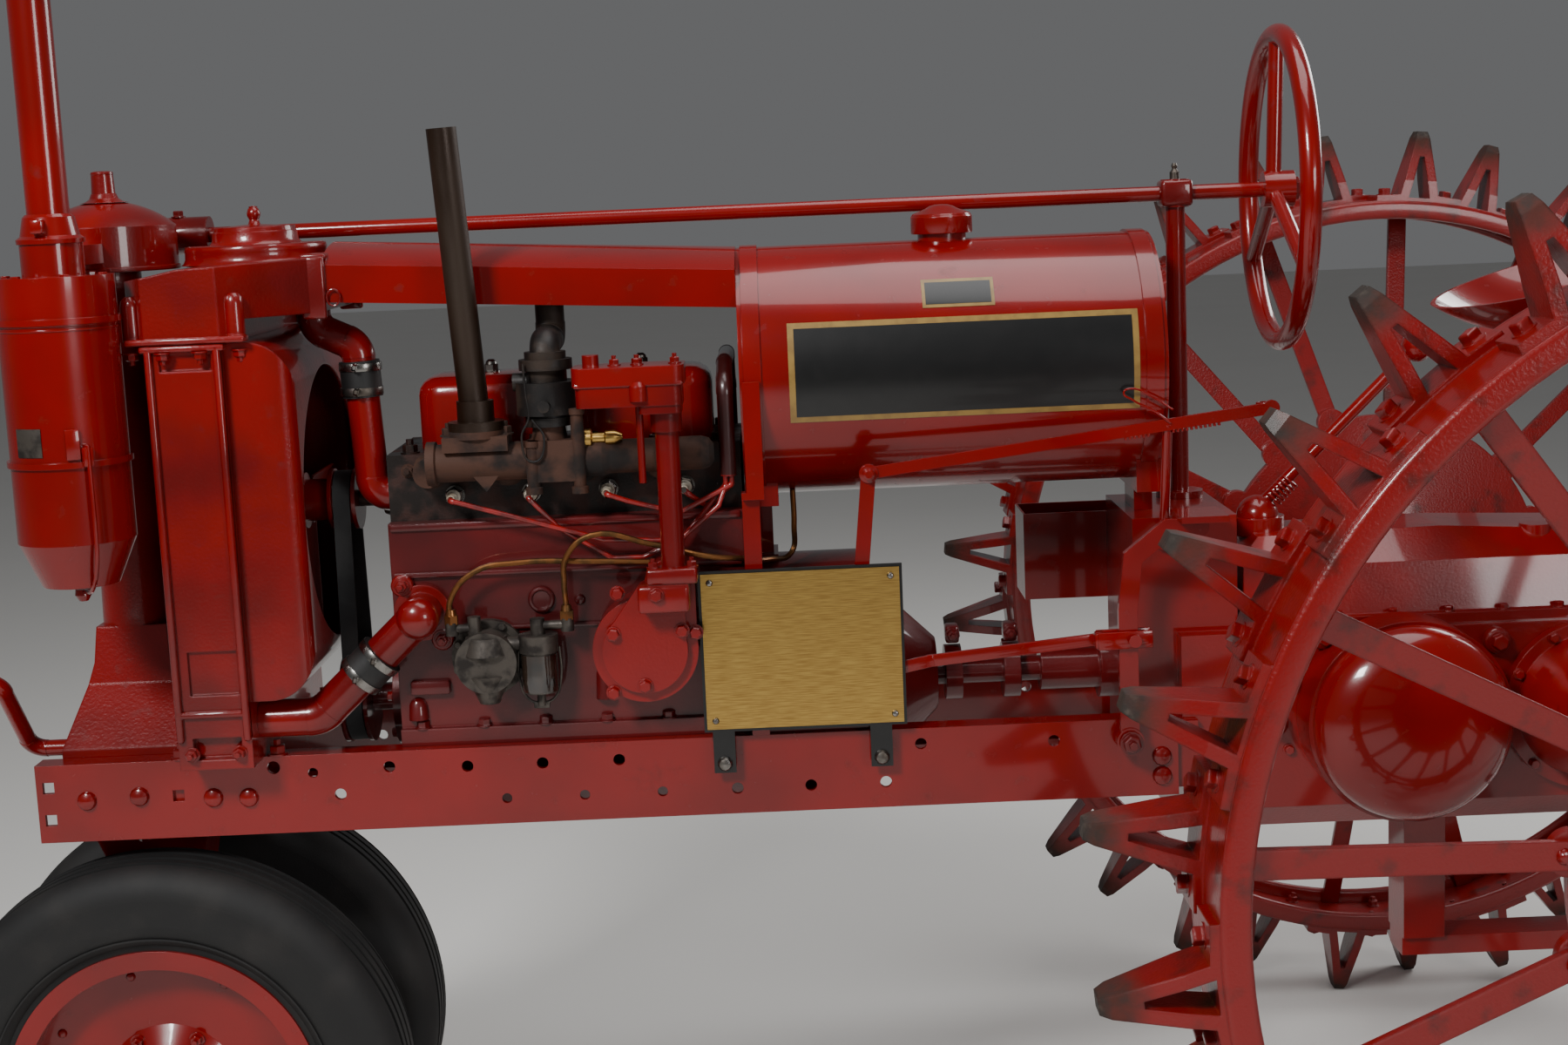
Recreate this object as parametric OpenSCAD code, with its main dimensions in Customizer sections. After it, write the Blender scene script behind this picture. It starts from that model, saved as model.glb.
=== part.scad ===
// Row-crop tractor of the 1930s: narrow twin front on rubber, lugged steel rear wheels.
// Millimetres. +X is forward, +Y is the tractor's left, +Z is up. The floor is z = 0.

/* [Stance] */
// Distance from the front axle to the rear axle
wheelbase = 2004; // [1900:1:2100]
// Distance between the middle planes of the rear rims
rear_tread = 1880; // [1700:10:2000]
// Distance between the middle planes of the front tyres at the spindles
front_tread = 286; // [270:2:340]
// How far the front spindles lie behind the steering axis
trail = 34; // [10:1:40]
// Lean of each front wheel, tops outward
camber = 2; // [0:0.5:3]

/* [Rear wheels] */
// Radius of the rim's outer face
rim_r = 686; // [640:1:700]
// Width of the rim
rim_w = 152; // [140:1:170]
// Thickness of the rolled rim section
rim_t = 8; // [6:1:10]
// Depth of the rim's side flanges
rim_flange = 32; // [24:1:40]
// Height of a lug above the rim
lug_h = 124; // [90:1:130]
// Width of a lug across the rim
lug_w = 66; // [50:1:68]
// Distance between the bends of a lug's two legs at the rim
lug_base = 64; // [50:1:80]
// Length of each lug's foot along the rim
lug_foot = 44; // [30:1:46]
// Thickness of a lug's legs and feet
lug_t = 10; // [8:1:13]
// Width of a lug's worn tip along the rim
lug_tip = 18; // [12:1:26]
// Lugs in each of the two rows
lug_count = 16; // [12:1:18]
// Width of a flat spoke
spoke_w = 32; // [24:1:38]
// Thickness of a flat spoke
spoke_t = 10; // [6:1:12]
// Spokes in a rear wheel
spoke_count = 16; // [12:1:18]
// Radius to the ends of the hub plate's lobes
lobe_r = 322; // [290:1:350]
// Thickness of the hub plate
plate_t = 14; // [10:1:18]
// Radius of the hub's boss
boss_r = 86; // [70:1:100]
// Radius of the rear axle shafts
axle_r = 32; // [25:1:36]

/* [Front wheels] */
// Outer radius of a front tyre
tyre_r = 338; // [320:1:342]
// Width of a front tyre
tyre_w = 140; // [120:1:150]
// Radius of a front rim's flange
front_flange_r = 220; // [205:1:235]
// Width of a front rim between its flanges
front_rim_w = 112; // [90:1:114]
// Radius of a front hub
front_hub_r = 46; // [40:1:60]
// Radius of a front spindle
spindle_r = 19; // [15:1:24]

/* [Frame] */
// Half the width over the rails' outer faces
rail_out = 170; // [165:1:190]
// Height of a rail
rail_h = 110; // [100:1:130]
// Height of the rails' lower face above the floor
rail_z = 706; // [700:1:730]
// Thickness of a rail's web
rail_t = 8; // [6:1:10]
// Width of a rail's flanges, measured from its outer face
rail_flange = 38; // [30:1:40]
// How far the rails run ahead of the steering axis
rail_nose = 115; // [100:1:140]

/* [Steering] */
// Radius of the king pin
king_r = 34; // [28:1:40]
// Radius of the steering gear case
gear_r = 95; // [85:1:100]
// Height of the steering shaft above the rails' upper face
shaft_rise = 714; // [710:1:740]
// Distance of the worm from the steering axis, to the right
worm_out = 112; // [108:1:116]
// Distance of the steering wheel's middle from the centreline, to the right
wheel_out = 72; // [60:1:90]
// Radius of the steering shaft
shaft_r = 11; // [9:1:13]
// Radius of the steering wheel, to the middle of its rim
wheel_r = 218; // [180:1:230]
// Radius of the steering wheel's rim
wheel_tube_r = 15; // [10:1:18]
// Radius of the post that carries the steering shaft
post_r = 14; // [10:1:18]

/* [Radiator] */
// Half the width of the radiator
radiator_half = 230; // [210:1:240]
// Depth of the radiator's side castings
radiator_d = 100; // [90:1:110]
// Height of the bottom tank
bottom_tank_h = 89; // [70:1:100]
// Height of the core
core_h = 486; // [460:1:500]
// Depth of the fan shroud
shroud_d = 87; // [70:1:100]
// Radius of the fan
fan_r = 186; // [170:1:188]
// Number of fan blades
fan_blades = 4; // [4, 6]
// Width of the fan belt
belt_w = 24; // [20:1:28]
// Radius of the filler boss on the top tank
filler_r = 97; // [80:1:100]

/* [Engine] */
// Length of the cylinder block
block_l = 488; // [480:1:500]
// Half the width of the cylinder block
block_half = 140; // [135:1:142]
// Height of the cylinder block above the rails
block_h = 312; // [300:1:320]
// Height of the cylinder head
head_h = 92; // [80:1:100]
// Height of the valve cover
cover_h = 118; // [80:1:120]
// Spacing of the spark plugs
plug_pitch = 106; // [100:1:112]
// Outer radius of the exhaust pipe
exhaust_r = 20; // [16:1:24]
// Height of the exhaust pipe's top above the floor
exhaust_top = 1660; // [1600:10:1800]

/* [Hood and tank] */
// Radius of the fuel tank
tank_r = 175; // [160:1:176]
// Length of the fuel tank
tank_l = 579; // [540:1:600]
// Half the width of the hood
hood_half = 128; // [120:1:140]
// Thickness of the hood's sheet
hood_t = 3; // [2:0.5:5]

/* [Air cleaner] */
// Radius of the air cleaner's can
can_r = 76; // [65:1:80]
// Distance of the air cleaner from the centreline
can_y = 245; // [230:1:250]
// Radius of the intake stack
stack_r = 27; // [22:1:32]
// Height of the intake stack's top above the floor
stack_top = 1960; // [1850:10:2100]

/* [Transmission] */
// Half the width of the transmission case
case_half = 150; // [140:1:154]
// Depth of the transmission case below its cover's flange
case_h = 285; // [260:1:300]
// Radius of the brake covers
brake_r = 140; // [120:1:150]
// How far the brake covers lie ahead of the rear axle
brake_ahead = 262; // [255:1:290]
// Distance from the centreline to the axle housings' outer ends
housing_out = 430; // [380:1:480]

/* [Seat and drawbar] */
// Radius of the seat pan
seat_r = 205; // [180:1:220]
// Height of the drawbar above the floor
drawbar_z = 420; // [400:1:460]
// Radius of the drawbar's pin holes
drawbar_hole_r = 11; // [8:1:14]

/* [Hidden] */

$fn = 64;
red = "#b3201c";
dark_red = "#8c1c18";
steel = "#6f665e";
black = "#1d1d1e";
brass = "#b79a55";
copper = "#a5603c";
iron = "#3b3836";
rust = "#7a4a2c";

// Clearances: seats that touch nothing, shafts that turn, and pieces that move past each other.
seat_gap = 0.3;
run_gap = 0.05;
swing_gap = 6;
bend_swell = 0.6;
eye_swell = 3;
bend_lap = 1.5;

// Wheels
lug_step = 360 / lug_count;
lug_phase = lug_step / 4;
tip_r = rim_r + lug_h;
axle_z = tip_r * cos(lug_phase) + lug_tip / 2 * sin(lug_phase);
tyre_crown = tyre_w * 0.3;
front_z = tyre_r * cos(camber) + tyre_crown * sin(camber);
front_x = (wheelbase + tip_r - tyre_r) / 2;
rear_x = front_x - wheelbase;
king_x = front_x + trail;
wheel_y = rear_tread / 2;
row_y = (rim_w - lug_w) / 2 - 1;
spoke_rim_r = rim_r - rim_t - seat_gap;
spoke_hub_r = lobe_r - 90;
spoke_rim_y = rim_w / 2 - rim_t - spoke_t / 2 - 1;
dish = 0.258;

// Frame and front
rail_top = rail_z + rail_h;
rail_front = king_x + rail_nose;
column_half = 88;
column_top = rail_top + 670;
shaft_z = rail_top + shaft_rise;

// Radiator
radiator_front = king_x - column_half - 16;
radiator_back = radiator_front - radiator_d;
core_z = rail_top + bottom_tank_h;
core_top = core_z + core_h;
tank_top_z = core_top + 99;
filler_x = radiator_back - 4;
shroud_back = radiator_back - shroud_d;
fan_z = rail_top + 332;
fan_x = shroud_back + 34;
crank_z = rail_top + 40;
belt_x = shroud_back - 18;

// Engine
engine_front = shroud_back - 100;
engine_back = engine_front - block_l;
block_top = rail_top + block_h;
head_half = 115;
head_top = block_top + head_h;
plug_x0 = engine_front - 92;
manifold_y = head_half + 50;
manifold_z = head_top - 8;
manifold_r = 26;

// Hood and tank
tank_front = engine_back - 4;
tank_back = tank_front - tank_l;
tank_z = rail_top + 490;
hood_front = radiator_back - 117;
hood_rear_top = tank_z + tank_r + 2;
hood_rise = 28;
hood_side = 79;

// Transmission
tank_hang = 45;
case_front = tank_back + tank_hang;
case_back = rear_x - 218;
flange_z = axle_z + 118;
case_z = flange_z - case_h;
cover_top = flange_z + 125;
nose_top = flange_z + 163;
post_x = case_front - 102;
wheel_x = post_x - 148;
shaft_ahead = king_x + gear_r - 30 - wheel_x;
shaft_side = worm_out - wheel_out;
shaft_run = norm([shaft_ahead, shaft_side]);
bell_r = 185;
bell_back = engine_back - 165;

// Pipes and small parts on the engine
pipe_r = 26;
hose_r = 31;
pipe_y = 60;
low_pipe_y = block_half + 30;
tank_rise = 30;
fan_pin_r = 12;
fan_pulley_r = 36;
crank_pulley_r = 56;
fan_pitch = 24;
fan_bore_end = fan_x + 8;
pan_half = 118;
pan_z = rail_z - 6;
cover_half = 70;
cover_end = 38;
cover_split = 14;
exhaust_x = engine_back + 354;
exhaust_seat = manifold_z + manifold_r + 18;
carb_x = engine_back + 256;
carb_z = manifold_z + manifold_r + 20;
line_r = 4;
governor_x = engine_back + 94;
governor_y = manifold_y + manifold_r + 37;
governor_z = rail_top + 490;
pump_x = engine_back + 358;
pump_y = block_half + 35;
pump_z = rail_top + 123;
bowl_x = pump_x - 71;
line_front = pump_x + 46;
line_rear = bowl_x - 41;
plug_z = block_top + 34;
cone_front = bell_back - 102;
bell_half = 160;
pedal_x = case_front + 20;
pedal_y = rail_out + 20;
cap_x = tank_back + 287;
control_y = tank_r;
tray_in = 120;
nose_half = 120;
lever_x = case_front - 200;
seat_x = case_back + 160;
seat_z = cover_top + 280;
seat_depth = 90;
seat_tilt = 14;
knob_r = 22;
knob_rise = 250;
knob_x = seat_x + seat_r * cos(seat_tilt) + seat_depth * sin(seat_tilt) + knob_r + swing_gap;
plate_x = engine_back - 209;
plate_y = rail_out + 20;
plate_z = rail_top + 16;
king_depth = rail_h - 24;
pedestal_half = 48;
front_seat_r = front_flange_r - 17;
axle_in = 60;
bolt_hole_r = 9;
lug_web = 45;
belt_t = 4;
hood_front_top = tank_top_z + 24;

module both_sides() {
    children();
    mirror([0, 1, 0]) children();
}

// A flat outline in X and Z, drawn out along Y and centred on it
module along_y(width) {
    rotate([90, 0, 0]) linear_extrude(width, center = true) children();
}

// A flat outline in Y and Z, drawn out along X and centred on it
module along_x(width) {
    rotate([90, 0, 90]) linear_extrude(width, center = true) children();
}

module round_square(w, h, r) {
    square([w - 2 * r, h], center = true);
    square([w, h - 2 * r], center = true);
    for (x = [-1, 1], y = [-1, 1]) translate([x * (w / 2 - r), y * (h / 2 - r)]) circle(r);
}

// A straight round bar between two points
module bar(a, b, r) {
    d = b - a;
    flat = norm([d[0], d[1]]);
    translate(a) rotate([0, atan2(flat, d[2]), atan2(d[1], d[0])]) cylinder(h = norm(d), r = r, $fn = 32);
}

// A bend between two straight bars at a corner, a little thicker than they are, so that it laps over them
module elbow(corner, a, b, bend, r) {
    turn = acos(a * b);
    side = (b - a * cos(turn)) / sin(turn);
    normal = cross(a, b) / sin(turn);
    middle = corner - a * bend * tan(turn / 2) + side * bend;
    multmatrix([
        [-side[0], a[0], normal[0], middle[0]],
        [-side[1], a[1], normal[1], middle[1]],
        [-side[2], a[2], normal[2], middle[2]]
    ]) rotate_extrude(angle = turn) translate([bend, 0]) circle(r + bend_swell, $fn = 32);
}

function unit(v) = v / norm(v);
function between(a, b, t) = a + (b - a) * t;

// How much of each straight bar the bend at a point takes up, none at the two ends
function trim_at(p, i, bend) = i == 0 || i == len(p) - 1 ? 0
    : bend * tan(acos(unit(p[i] - p[i - 1]) * unit(p[i + 1] - p[i])) / 2) - bend_lap;

// A round bar that follows a list of points, with a bend of one radius at each corner
module bent_bar(p, r, bend) {
    for (i = [0 : len(p) - 2]) {
        way = unit(p[i + 1] - p[i]);
        bar(p[i] + way * trim_at(p, i, bend), p[i + 1] - way * trim_at(p, i + 1, bend), r);
    }
    for (i = [1 : len(p) - 2]) elbow(p[i], unit(p[i] - p[i - 1]), unit(p[i + 1] - p[i]), bend, r);
}

// How far the side of a flat bar lies from its middle line at a point, at right angles or as a mitre
function side_at(p, i, w) =
    let(a = unit(p[max(i, 1)] - p[max(i, 1) - 1]))
    let(k = min(i, len(p) - 2))
    let(b = unit(p[k + 1] - p[k]))
    let(n = unit([-a[1] - b[1], a[0] + b[0]]))
    n * w / 2 / (n * [-a[1], a[0]]);

// A flat bar through a list of points in X and Z, with an eye a little wider than it at each end
module flat_bar(points, w, t) {
    last = len(points) - 1;
    along_y(t) {
        polygon(concat(
            [for (i = [0 : last]) points[i] + side_at(points, i, w)],
            [for (i = [last : -1 : 0]) points[i] - side_at(points, i, w)]
        ));
        for (i = [0, last]) translate(points[i]) circle(w / 2 + eye_swell);
    }
}

// Frame

module rail() {
    length = rail_front - (case_front - 50);
    difference() {
        translate([rail_front - length / 2, rail_out - rail_flange / 2, rail_z + rail_h / 2])
            cube([length, rail_flange, rail_h], center = true);
        translate([rail_front - length / 2, rail_out - rail_t - rail_flange / 2, rail_z + rail_h / 2])
            cube([length + 2, rail_flange, rail_h - 2 * rail_t], center = true);
        rail_holes();
    }
}

// Rail hole columns: distance behind the rails' front end, height above the lower face, radius
rail_hole_table = [
    [330, 94, 9], [420, 52, 8], [384, 84, 7], [490, 88, 8], [598, 84, 8], [650, 36, 7],
    [702, 84, 8], [758, 36, 7], [808, 84, 8], [866, 36, 7], [970, 36, 8], [1072, 36, 8],
    [1176, 36, 8], [1226, 88, 8], [1410, 84, 8]
];

module rail_holes() {
    for (h = rail_hole_table)
        translate([rail_front - h[0], rail_out, rail_z + h[1]]) rotate([90, 0, 0])
            cylinder(h = 3 * rail_t, r = h[2], center = true, $fn = 24);
    for (h = [[17, 78], [17, 32], [196, 60]])
        translate([rail_front - h[0], rail_out, rail_z + h[1]]) cube([16, 3 * rail_t, 16], center = true);
}

module frame_rails() color(red) both_sides() rail();

module front_column() color(red) {
    pad_half = rail_out - rail_t;
    block_y = rail_out - rail_flange - 2;
    difference() {
        union() {
            translate([king_x, 0, rail_z + rail_h / 2])
                cube([2 * column_half, 2 * pad_half, rail_h - 2 * rail_t - 2 * seat_gap], center = true);
            intersection() {
                along_y(2 * block_y) polygon([
                    [king_x - column_half, rail_z], [king_x + column_half, rail_z],
                    [king_x + column_half, rail_top + 10], [king_x + 54, rail_top + 120],
                    [king_x + 50, rail_top + 170], [king_x - 50, rail_top + 170],
                    [king_x - 54, rail_top + 120], [king_x - column_half, rail_top + 14]
                ]);
                translate([king_x, 0, 0]) along_x(2 * column_half) polygon([
                    [-block_y, rail_z], [block_y, rail_z], [block_y, rail_top + 12],
                    [66, rail_top + 90], [50, rail_top + 170], [-50, rail_top + 170],
                    [-66, rail_top + 90], [-block_y, rail_top + 12]
                ]);
            }
            translate([king_x, 0, rail_top + 100])
                cylinder(h = column_top - rail_top - 100, r1 = 54, r2 = 42);
        }
        translate([king_x, 0, rail_z - 1]) cylinder(h = rail_h - 10, r = king_r + run_gap);
    }
}

module steering_gear_case() color(red) {
    dome_h = 36;
    dome_r = (gear_r * gear_r + dome_h * dome_h) / (2 * dome_h);
    case_h2 = 62;
    difference() {
        union() {
            translate([king_x, 0, column_top]) cylinder(h = case_h2, r = gear_r);
            intersection() {
                translate([king_x, 0, column_top + case_h2 + dome_h - dome_r]) sphere(dome_r, $fn = 96);
                translate([king_x, 0, column_top + case_h2 - 1]) cylinder(h = dome_h + 2, r = gear_r);
            }
            translate([king_x, 0, column_top + case_h2 + dome_h - 4]) cylinder(h = 44, r1 = 17, r2 = 15);
            translate([king_x - gear_r - 22, -worm_out, shaft_z]) rotate([0, 90, 0])
                cylinder(h = 2 * gear_r + 22, r = 27);
        }
        steering_axis() translate([0, 0, -1]) cylinder(h = 2 * shaft_run, r = shaft_r + run_gap);
    }
}

// Places what is drawn along +Z on the steering shaft's line, from the wheel's middle forward
module steering_axis() {
    translate([wheel_x, -wheel_out, shaft_z]) rotate([0, 90, -atan2(shaft_side, shaft_ahead)]) children();
}

module steering_post() color(red) {
    post_y = -wheel_out - shaft_side * (post_x - wheel_x) / shaft_ahead;
    difference() {
        union() {
            translate([post_x, post_y, nose_top]) cylinder(h = shaft_z - nose_top, r = post_r);
            translate([post_x, post_y, nose_top]) cylinder(h = 10, r = 34);
            translate([post_x, post_y, shaft_z - 20]) cylinder(h = 40, r = 20);
            translate([post_x, post_y, shaft_z + 18]) cylinder(h = 14, r = 5, $fn = 24);
        }
        steering_axis() translate([0, 0, -1]) cylinder(h = 2 * shaft_run, r = shaft_r + run_gap);
    }
}

module steering_wheel() color(red) {
    steering_axis() {
        translate([0, 0, -14]) cylinder(h = shaft_run + 10, r = shaft_r);
        translate([0, 0, -22]) cylinder(h = 44, r = 26);
        translate([0, 0, -30]) cylinder(h = 12, r = 16, $fn = 6);
        rotate_extrude() translate([wheel_r, 0]) circle(wheel_tube_r, $fn = 32);
        for (a = [60, 180, 300]) rotate(a) bar([18, 0, 6], [wheel_r, 0, 0], 11);
    }
}

// Radiator

module radiator_core() color(iron) {
    translate([radiator_back + 20, -radiator_half + 20, core_z])
        cube([radiator_d - 40, 2 * radiator_half - 40, core_h]);
}

module radiator_casting() color(red) {
    side = 20;
    difference() {
        union() {
            translate([radiator_back, -radiator_half, rail_top])
                cube([radiator_d, 2 * radiator_half, bottom_tank_h]);
            both_sides() translate([radiator_back, radiator_half - side, core_z - 1])
                cube([radiator_d, side, core_h + 1]);
        }
        // Recessed panels in each side casting, and the foot's window
        both_sides() {
            translate([radiator_back + 14, radiator_half - 5, core_top - 34])
                cube([radiator_d - 32, 10, 22]);
            translate([radiator_back + 12, radiator_half - 5, core_z + 14]) cube([radiator_d - 34, 10, 60]);
            translate([radiator_back + 14, radiator_half - 14, rail_top + 14])
                cube([radiator_d - 34, 20, 30]);
        }
    }
}

module radiator_top_tank() color(red) {
    front = radiator_front + 30;
    intersection() {
        translate([0, 0, core_top]) linear_extrude(tank_top_z - core_top + 40) polygon([
            [front, -radiator_half + 40], [front, radiator_half - 40], [radiator_front, radiator_half],
            [radiator_back, radiator_half], [hood_front + 6, hood_half],
            [hood_front + 6, -hood_half], [radiator_back, -radiator_half], [radiator_front, -radiator_half]
        ]);
        along_y(2 * radiator_half + 2) polygon([
            [front, core_top], [front, tank_top_z - 14], [radiator_front - 10, tank_top_z - 8],
            [radiator_front - 50, tank_top_z], [hood_front, tank_top_z + 6],
            [hood_front, core_top + tank_rise], [radiator_back - 10, core_top + tank_rise],
            [radiator_back - 10, core_top]
        ]);
    }
    translate([filler_x, 0, tank_top_z - 2]) cylinder(h = 27, r = filler_r);
    translate([filler_x, 0, tank_top_z + 20]) cylinder(h = 30, r1 = 61, r2 = 56);
    translate([filler_x, 0, tank_top_z + 48]) cylinder(h = 30, r = 6, $fn = 24);
}

// The shroud's rounded pan, shrunk by a wall
module shroud_pan(wall) {
    half_y = radiator_half - 12 - wall;
    mid_z = core_z + core_h / 2;
    depth = 2 * (shroud_d - wall);
    intersection() {
        translate([radiator_back, 0, mid_z]) along_y(2 * half_y)
            round_square(depth, core_h - 2 * wall, 60 - wall);
        translate([radiator_back, 0, mid_z - core_h]) linear_extrude(2 * core_h)
            round_square(depth, 2 * half_y, 22 - wall);
        translate([radiator_back - shroud_d, -radiator_half, core_z])
            cube([shroud_d, 2 * radiator_half, core_h]);
    }
}

module fan_shroud() color(red) {
    difference() {
        shroud_pan(0);
        shroud_pan(5);
        translate([shroud_back - 1, 0, fan_z]) rotate([0, 90, 0])
            cylinder(h = shroud_d, r = fan_r + 8, $fn = 96);
    }
}

module fan() color(dark_red) {
    hub_r = 40;
    translate([0, 0, fan_z]) rotate([0, 90, 0]) {
        difference() {
            union() {
                translate([0, 0, belt_x]) pulley(fan_pulley_r);
                translate([0, 0, belt_x]) cylinder(h = fan_x + 20 - belt_x, r = 30);
                translate([0, 0, fan_x + 4]) cylinder(h = 22, r = hub_r);
            }
            translate([0, 0, belt_x - 60]) cylinder(h = fan_bore_end - belt_x + 60, r = fan_pin_r + run_gap);
        }
        for (i = [0 : fan_blades - 1]) rotate(i * 360 / fan_blades) translate([hub_r - 6, 0, fan_x + 15])
            rotate([fan_pitch, 0, 0]) translate([0, -34, -1.5]) cube([fan_r - hub_r, 68, 3]);
    }
}

// Flat belt: an arc round each pulley and a straight run on each side, which lap
module fan_belt() color(steel) {
    top_r = fan_pulley_r + seat_gap;
    low_r = crank_pulley_r;
    drop = fan_z - crank_z;
    lean = asin((low_r - top_r) / drop);
    arc_t = belt_t + 1;
    run = drop * cos(lean) + 2 * bend_lap;
    translate([belt_x, 0, fan_z]) rotate([90, 0, 90]) rotate(lean) rotate_extrude(angle = 180 - 2 * lean)
        translate([top_r, -belt_w / 2]) square([arc_t, belt_w]);
    translate([belt_x, 0, crank_z]) rotate([90, 0, 90]) rotate(180 - lean)
        rotate_extrude(angle = 180 + 2 * lean) translate([low_r, -belt_w / 2]) square([arc_t, belt_w]);
    both_sides() translate([belt_x, 0, fan_z]) rotate([90, 0, 90]) rotate(lean)
        translate([top_r + 0.5, bend_lap - run, -belt_w / 2 + 0.2]) cube([belt_t, run, belt_w - 0.4]);
}

// Water pipes: one from the head up to the top tank, one from the bottom tank back to the block

riser_foot = [engine_front + 30, pipe_y, block_top + 32];
riser_top = [engine_front + 39, pipe_y, head_top + 150];
upper_path = [
    [engine_front, pipe_y, block_top + 32], riser_foot,
    between(riser_foot, riser_top, 0.66), between(riser_foot, riser_top, 0.9),
    riser_top, [hood_front + 26, pipe_y, core_top + 6],
    [hood_front + 26, pipe_y, core_top + tank_rise]
];
lower_path = [
    [radiator_back, low_pipe_y, rail_top + 54], [shroud_back + 4, low_pipe_y, rail_top + 54],
    [engine_front - 41, low_pipe_y, rail_top + 189]
];
hose_from = between(lower_path[1], lower_path[2], 0.38);
hose_to = between(lower_path[1], lower_path[2], 0.62);

module water_pipes() color(red) {
    bent_bar([upper_path[0], upper_path[1], upper_path[2]], pipe_r - 3, 27);
    bent_bar([upper_path[3], upper_path[4], upper_path[5], upper_path[6]], pipe_r - 3, 27);
    bent_bar([lower_path[0], lower_path[1], hose_from], pipe_r, 40);
    bar(hose_to, lower_path[2], pipe_r);
    translate([lower_path[2][0], block_half, lower_path[2][2]]) rotate([-90, 0, 0]) {
        cylinder(h = low_pipe_y - block_half + pipe_r, r = pipe_r + 2);
        cylinder(h = 12, r = pipe_r + 13);
    }
}

module water_hoses() color(black) {
    bar(upper_path[2], upper_path[3], hose_r - 3);
    bar(hose_from, hose_to, hose_r);
}

// Engine

module engine_block() color(red) {
    translate([engine_back, -block_half, rail_top + 24]) cube([block_l, 2 * block_half, block_h - 24]);
    translate([engine_back, -block_half - 10, rail_top]) cube([block_l, 2 * block_half + 20, 24]);
    translate([engine_back + block_l / 2, 0, 0]) along_x(block_l) polygon([
        [-pan_half, rail_top], [pan_half, rail_top], [pan_half, pan_z + 40],
        [pan_half - 40, pan_z], [40 - pan_half, pan_z], [-pan_half, pan_z + 40]
    ]);
    // Crankshaft nose and its pulley
    translate([engine_front, 0, crank_z]) rotate([0, 90, 0]) {
        cylinder(h = belt_x - engine_front + 30, r = 20);
        cylinder(h = 24, r = 70);
    }
    translate([belt_x, 0, crank_z]) rotate([0, 90, 0]) pulley(crank_pulley_r);
}

// A flat belt's pulley, centred on the belt, with a rim on each side
module pulley(r) {
    cylinder(h = belt_w + 4, r = r, center = true);
    for (z = [-1, 1]) translate([0, 0, z * (belt_w / 2 + 5)]) cylinder(h = 6, r = r + 8, center = true);
}

module cylinder_head() color(iron) {
    translate([engine_back, -head_half, block_top]) cube([block_l, 2 * head_half, head_h]);
    translate([engine_front, 0, fan_z]) rotate([0, 90, 0]) {
        cylinder(h = 26, r1 = 34, r2 = 24);
        cylinder(h = fan_bore_end - engine_front - seat_gap, r = fan_pin_r);
    }
}

module valve_cover() color(red) {
    length = (block_l - 2 * cover_end - cover_split) / 2;
    for (x = [engine_back + cover_end, engine_front - cover_end - length])
        translate([x + length / 2, 0, head_top]) along_x(length) intersection() {
            translate([0, cover_h - 60]) round_square(2 * cover_half, 120, 48);
            translate([-cover_half, 0]) square([2 * cover_half, cover_h]);
        }
}

// The manifold's outline about its own length: distance from its middle line, distance ahead of its rear end
manifold_profile = [
    [0, 0], [12, 0], [20, 6], [23, 16], [23, 140], [manifold_r, 150], [manifold_r, 374],
    [manifold_r + 4, 376], [manifold_r + 4, 388], [0, 388]
];

module manifold() color(rust) {
    port_z = manifold_z - 14;
    translate([engine_back + 35, manifold_y, manifold_z]) rotate([0, 90, 0]) rotate_extrude()
        polygon(manifold_profile);
    for (i = [0 : 3]) translate([plug_x0 + 30 - i * plug_pitch, head_half, port_z]) rotate([-90, 0, 0]) {
        translate([0, 0, 2]) cylinder(h = manifold_y - head_half - 8, r = 20);
        cylinder(h = 10, r = 25);
    }
    // Pad under the exhaust pipe, with a boss below it
    translate([exhaust_x, manifold_y, exhaust_seat - 17]) cube([88, 62, 20], center = true);
    translate([exhaust_x, manifold_y, exhaust_seat - 10]) cylinder(h = 10, r = 38);
    translate([exhaust_x, manifold_y, manifold_z]) along_y(38)
        polygon([[-36, -8], [14, -8], [-11, -39]]);
    // Block under the carburettor
    translate([carb_x - 7, manifold_y, manifold_z]) cube([68, 60, 56], center = true);
    translate([carb_x, manifold_y, manifold_z + 20])
        cylinder(h = carb_z - manifold_z - 20, r1 = 25, r2 = 22);
}

module exhaust_pipe() color(rust) {
    translate([exhaust_x, manifold_y, exhaust_seat]) {
        cylinder(h = 12, r = 38);
        translate([0, 0, 4]) cylinder(h = 36, r = exhaust_r + 5);
    }
    // Leans forward and out, as bent in use
    translate([exhaust_x, manifold_y, exhaust_seat + 6]) rotate([-1.7, 2.9, 0])
        cylinder(h = exhaust_top - exhaust_seat - 6, r = exhaust_r);
}

module carburettor() color(steel) {
    translate([carb_x, manifold_y, carb_z]) {
        cylinder(h = 12, r = 32);
        cylinder(h = 100, r = 28);
        translate([0, 0, 16]) cylinder(h = 44, r = 42);
        translate([0, 0, 76]) cylinder(h = 14, r = 36);
        translate([34, 0, 60]) rotate([0, 90, 0]) cylinder(h = 22, r = 12, center = true);
        // Fuel inlet on the outer side
        translate([0, 36, 30]) rotate([-90, 0, 0]) cylinder(h = 20, r = 8);
    }
    bent_bar([
        [carb_x, manifold_y, carb_z + 90], [carb_x, manifold_y, carb_z + 112],
        [carb_x, 70, carb_z + 112], [carb_x, 70, carb_z + 190]
    ], 20, 22);
}

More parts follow.
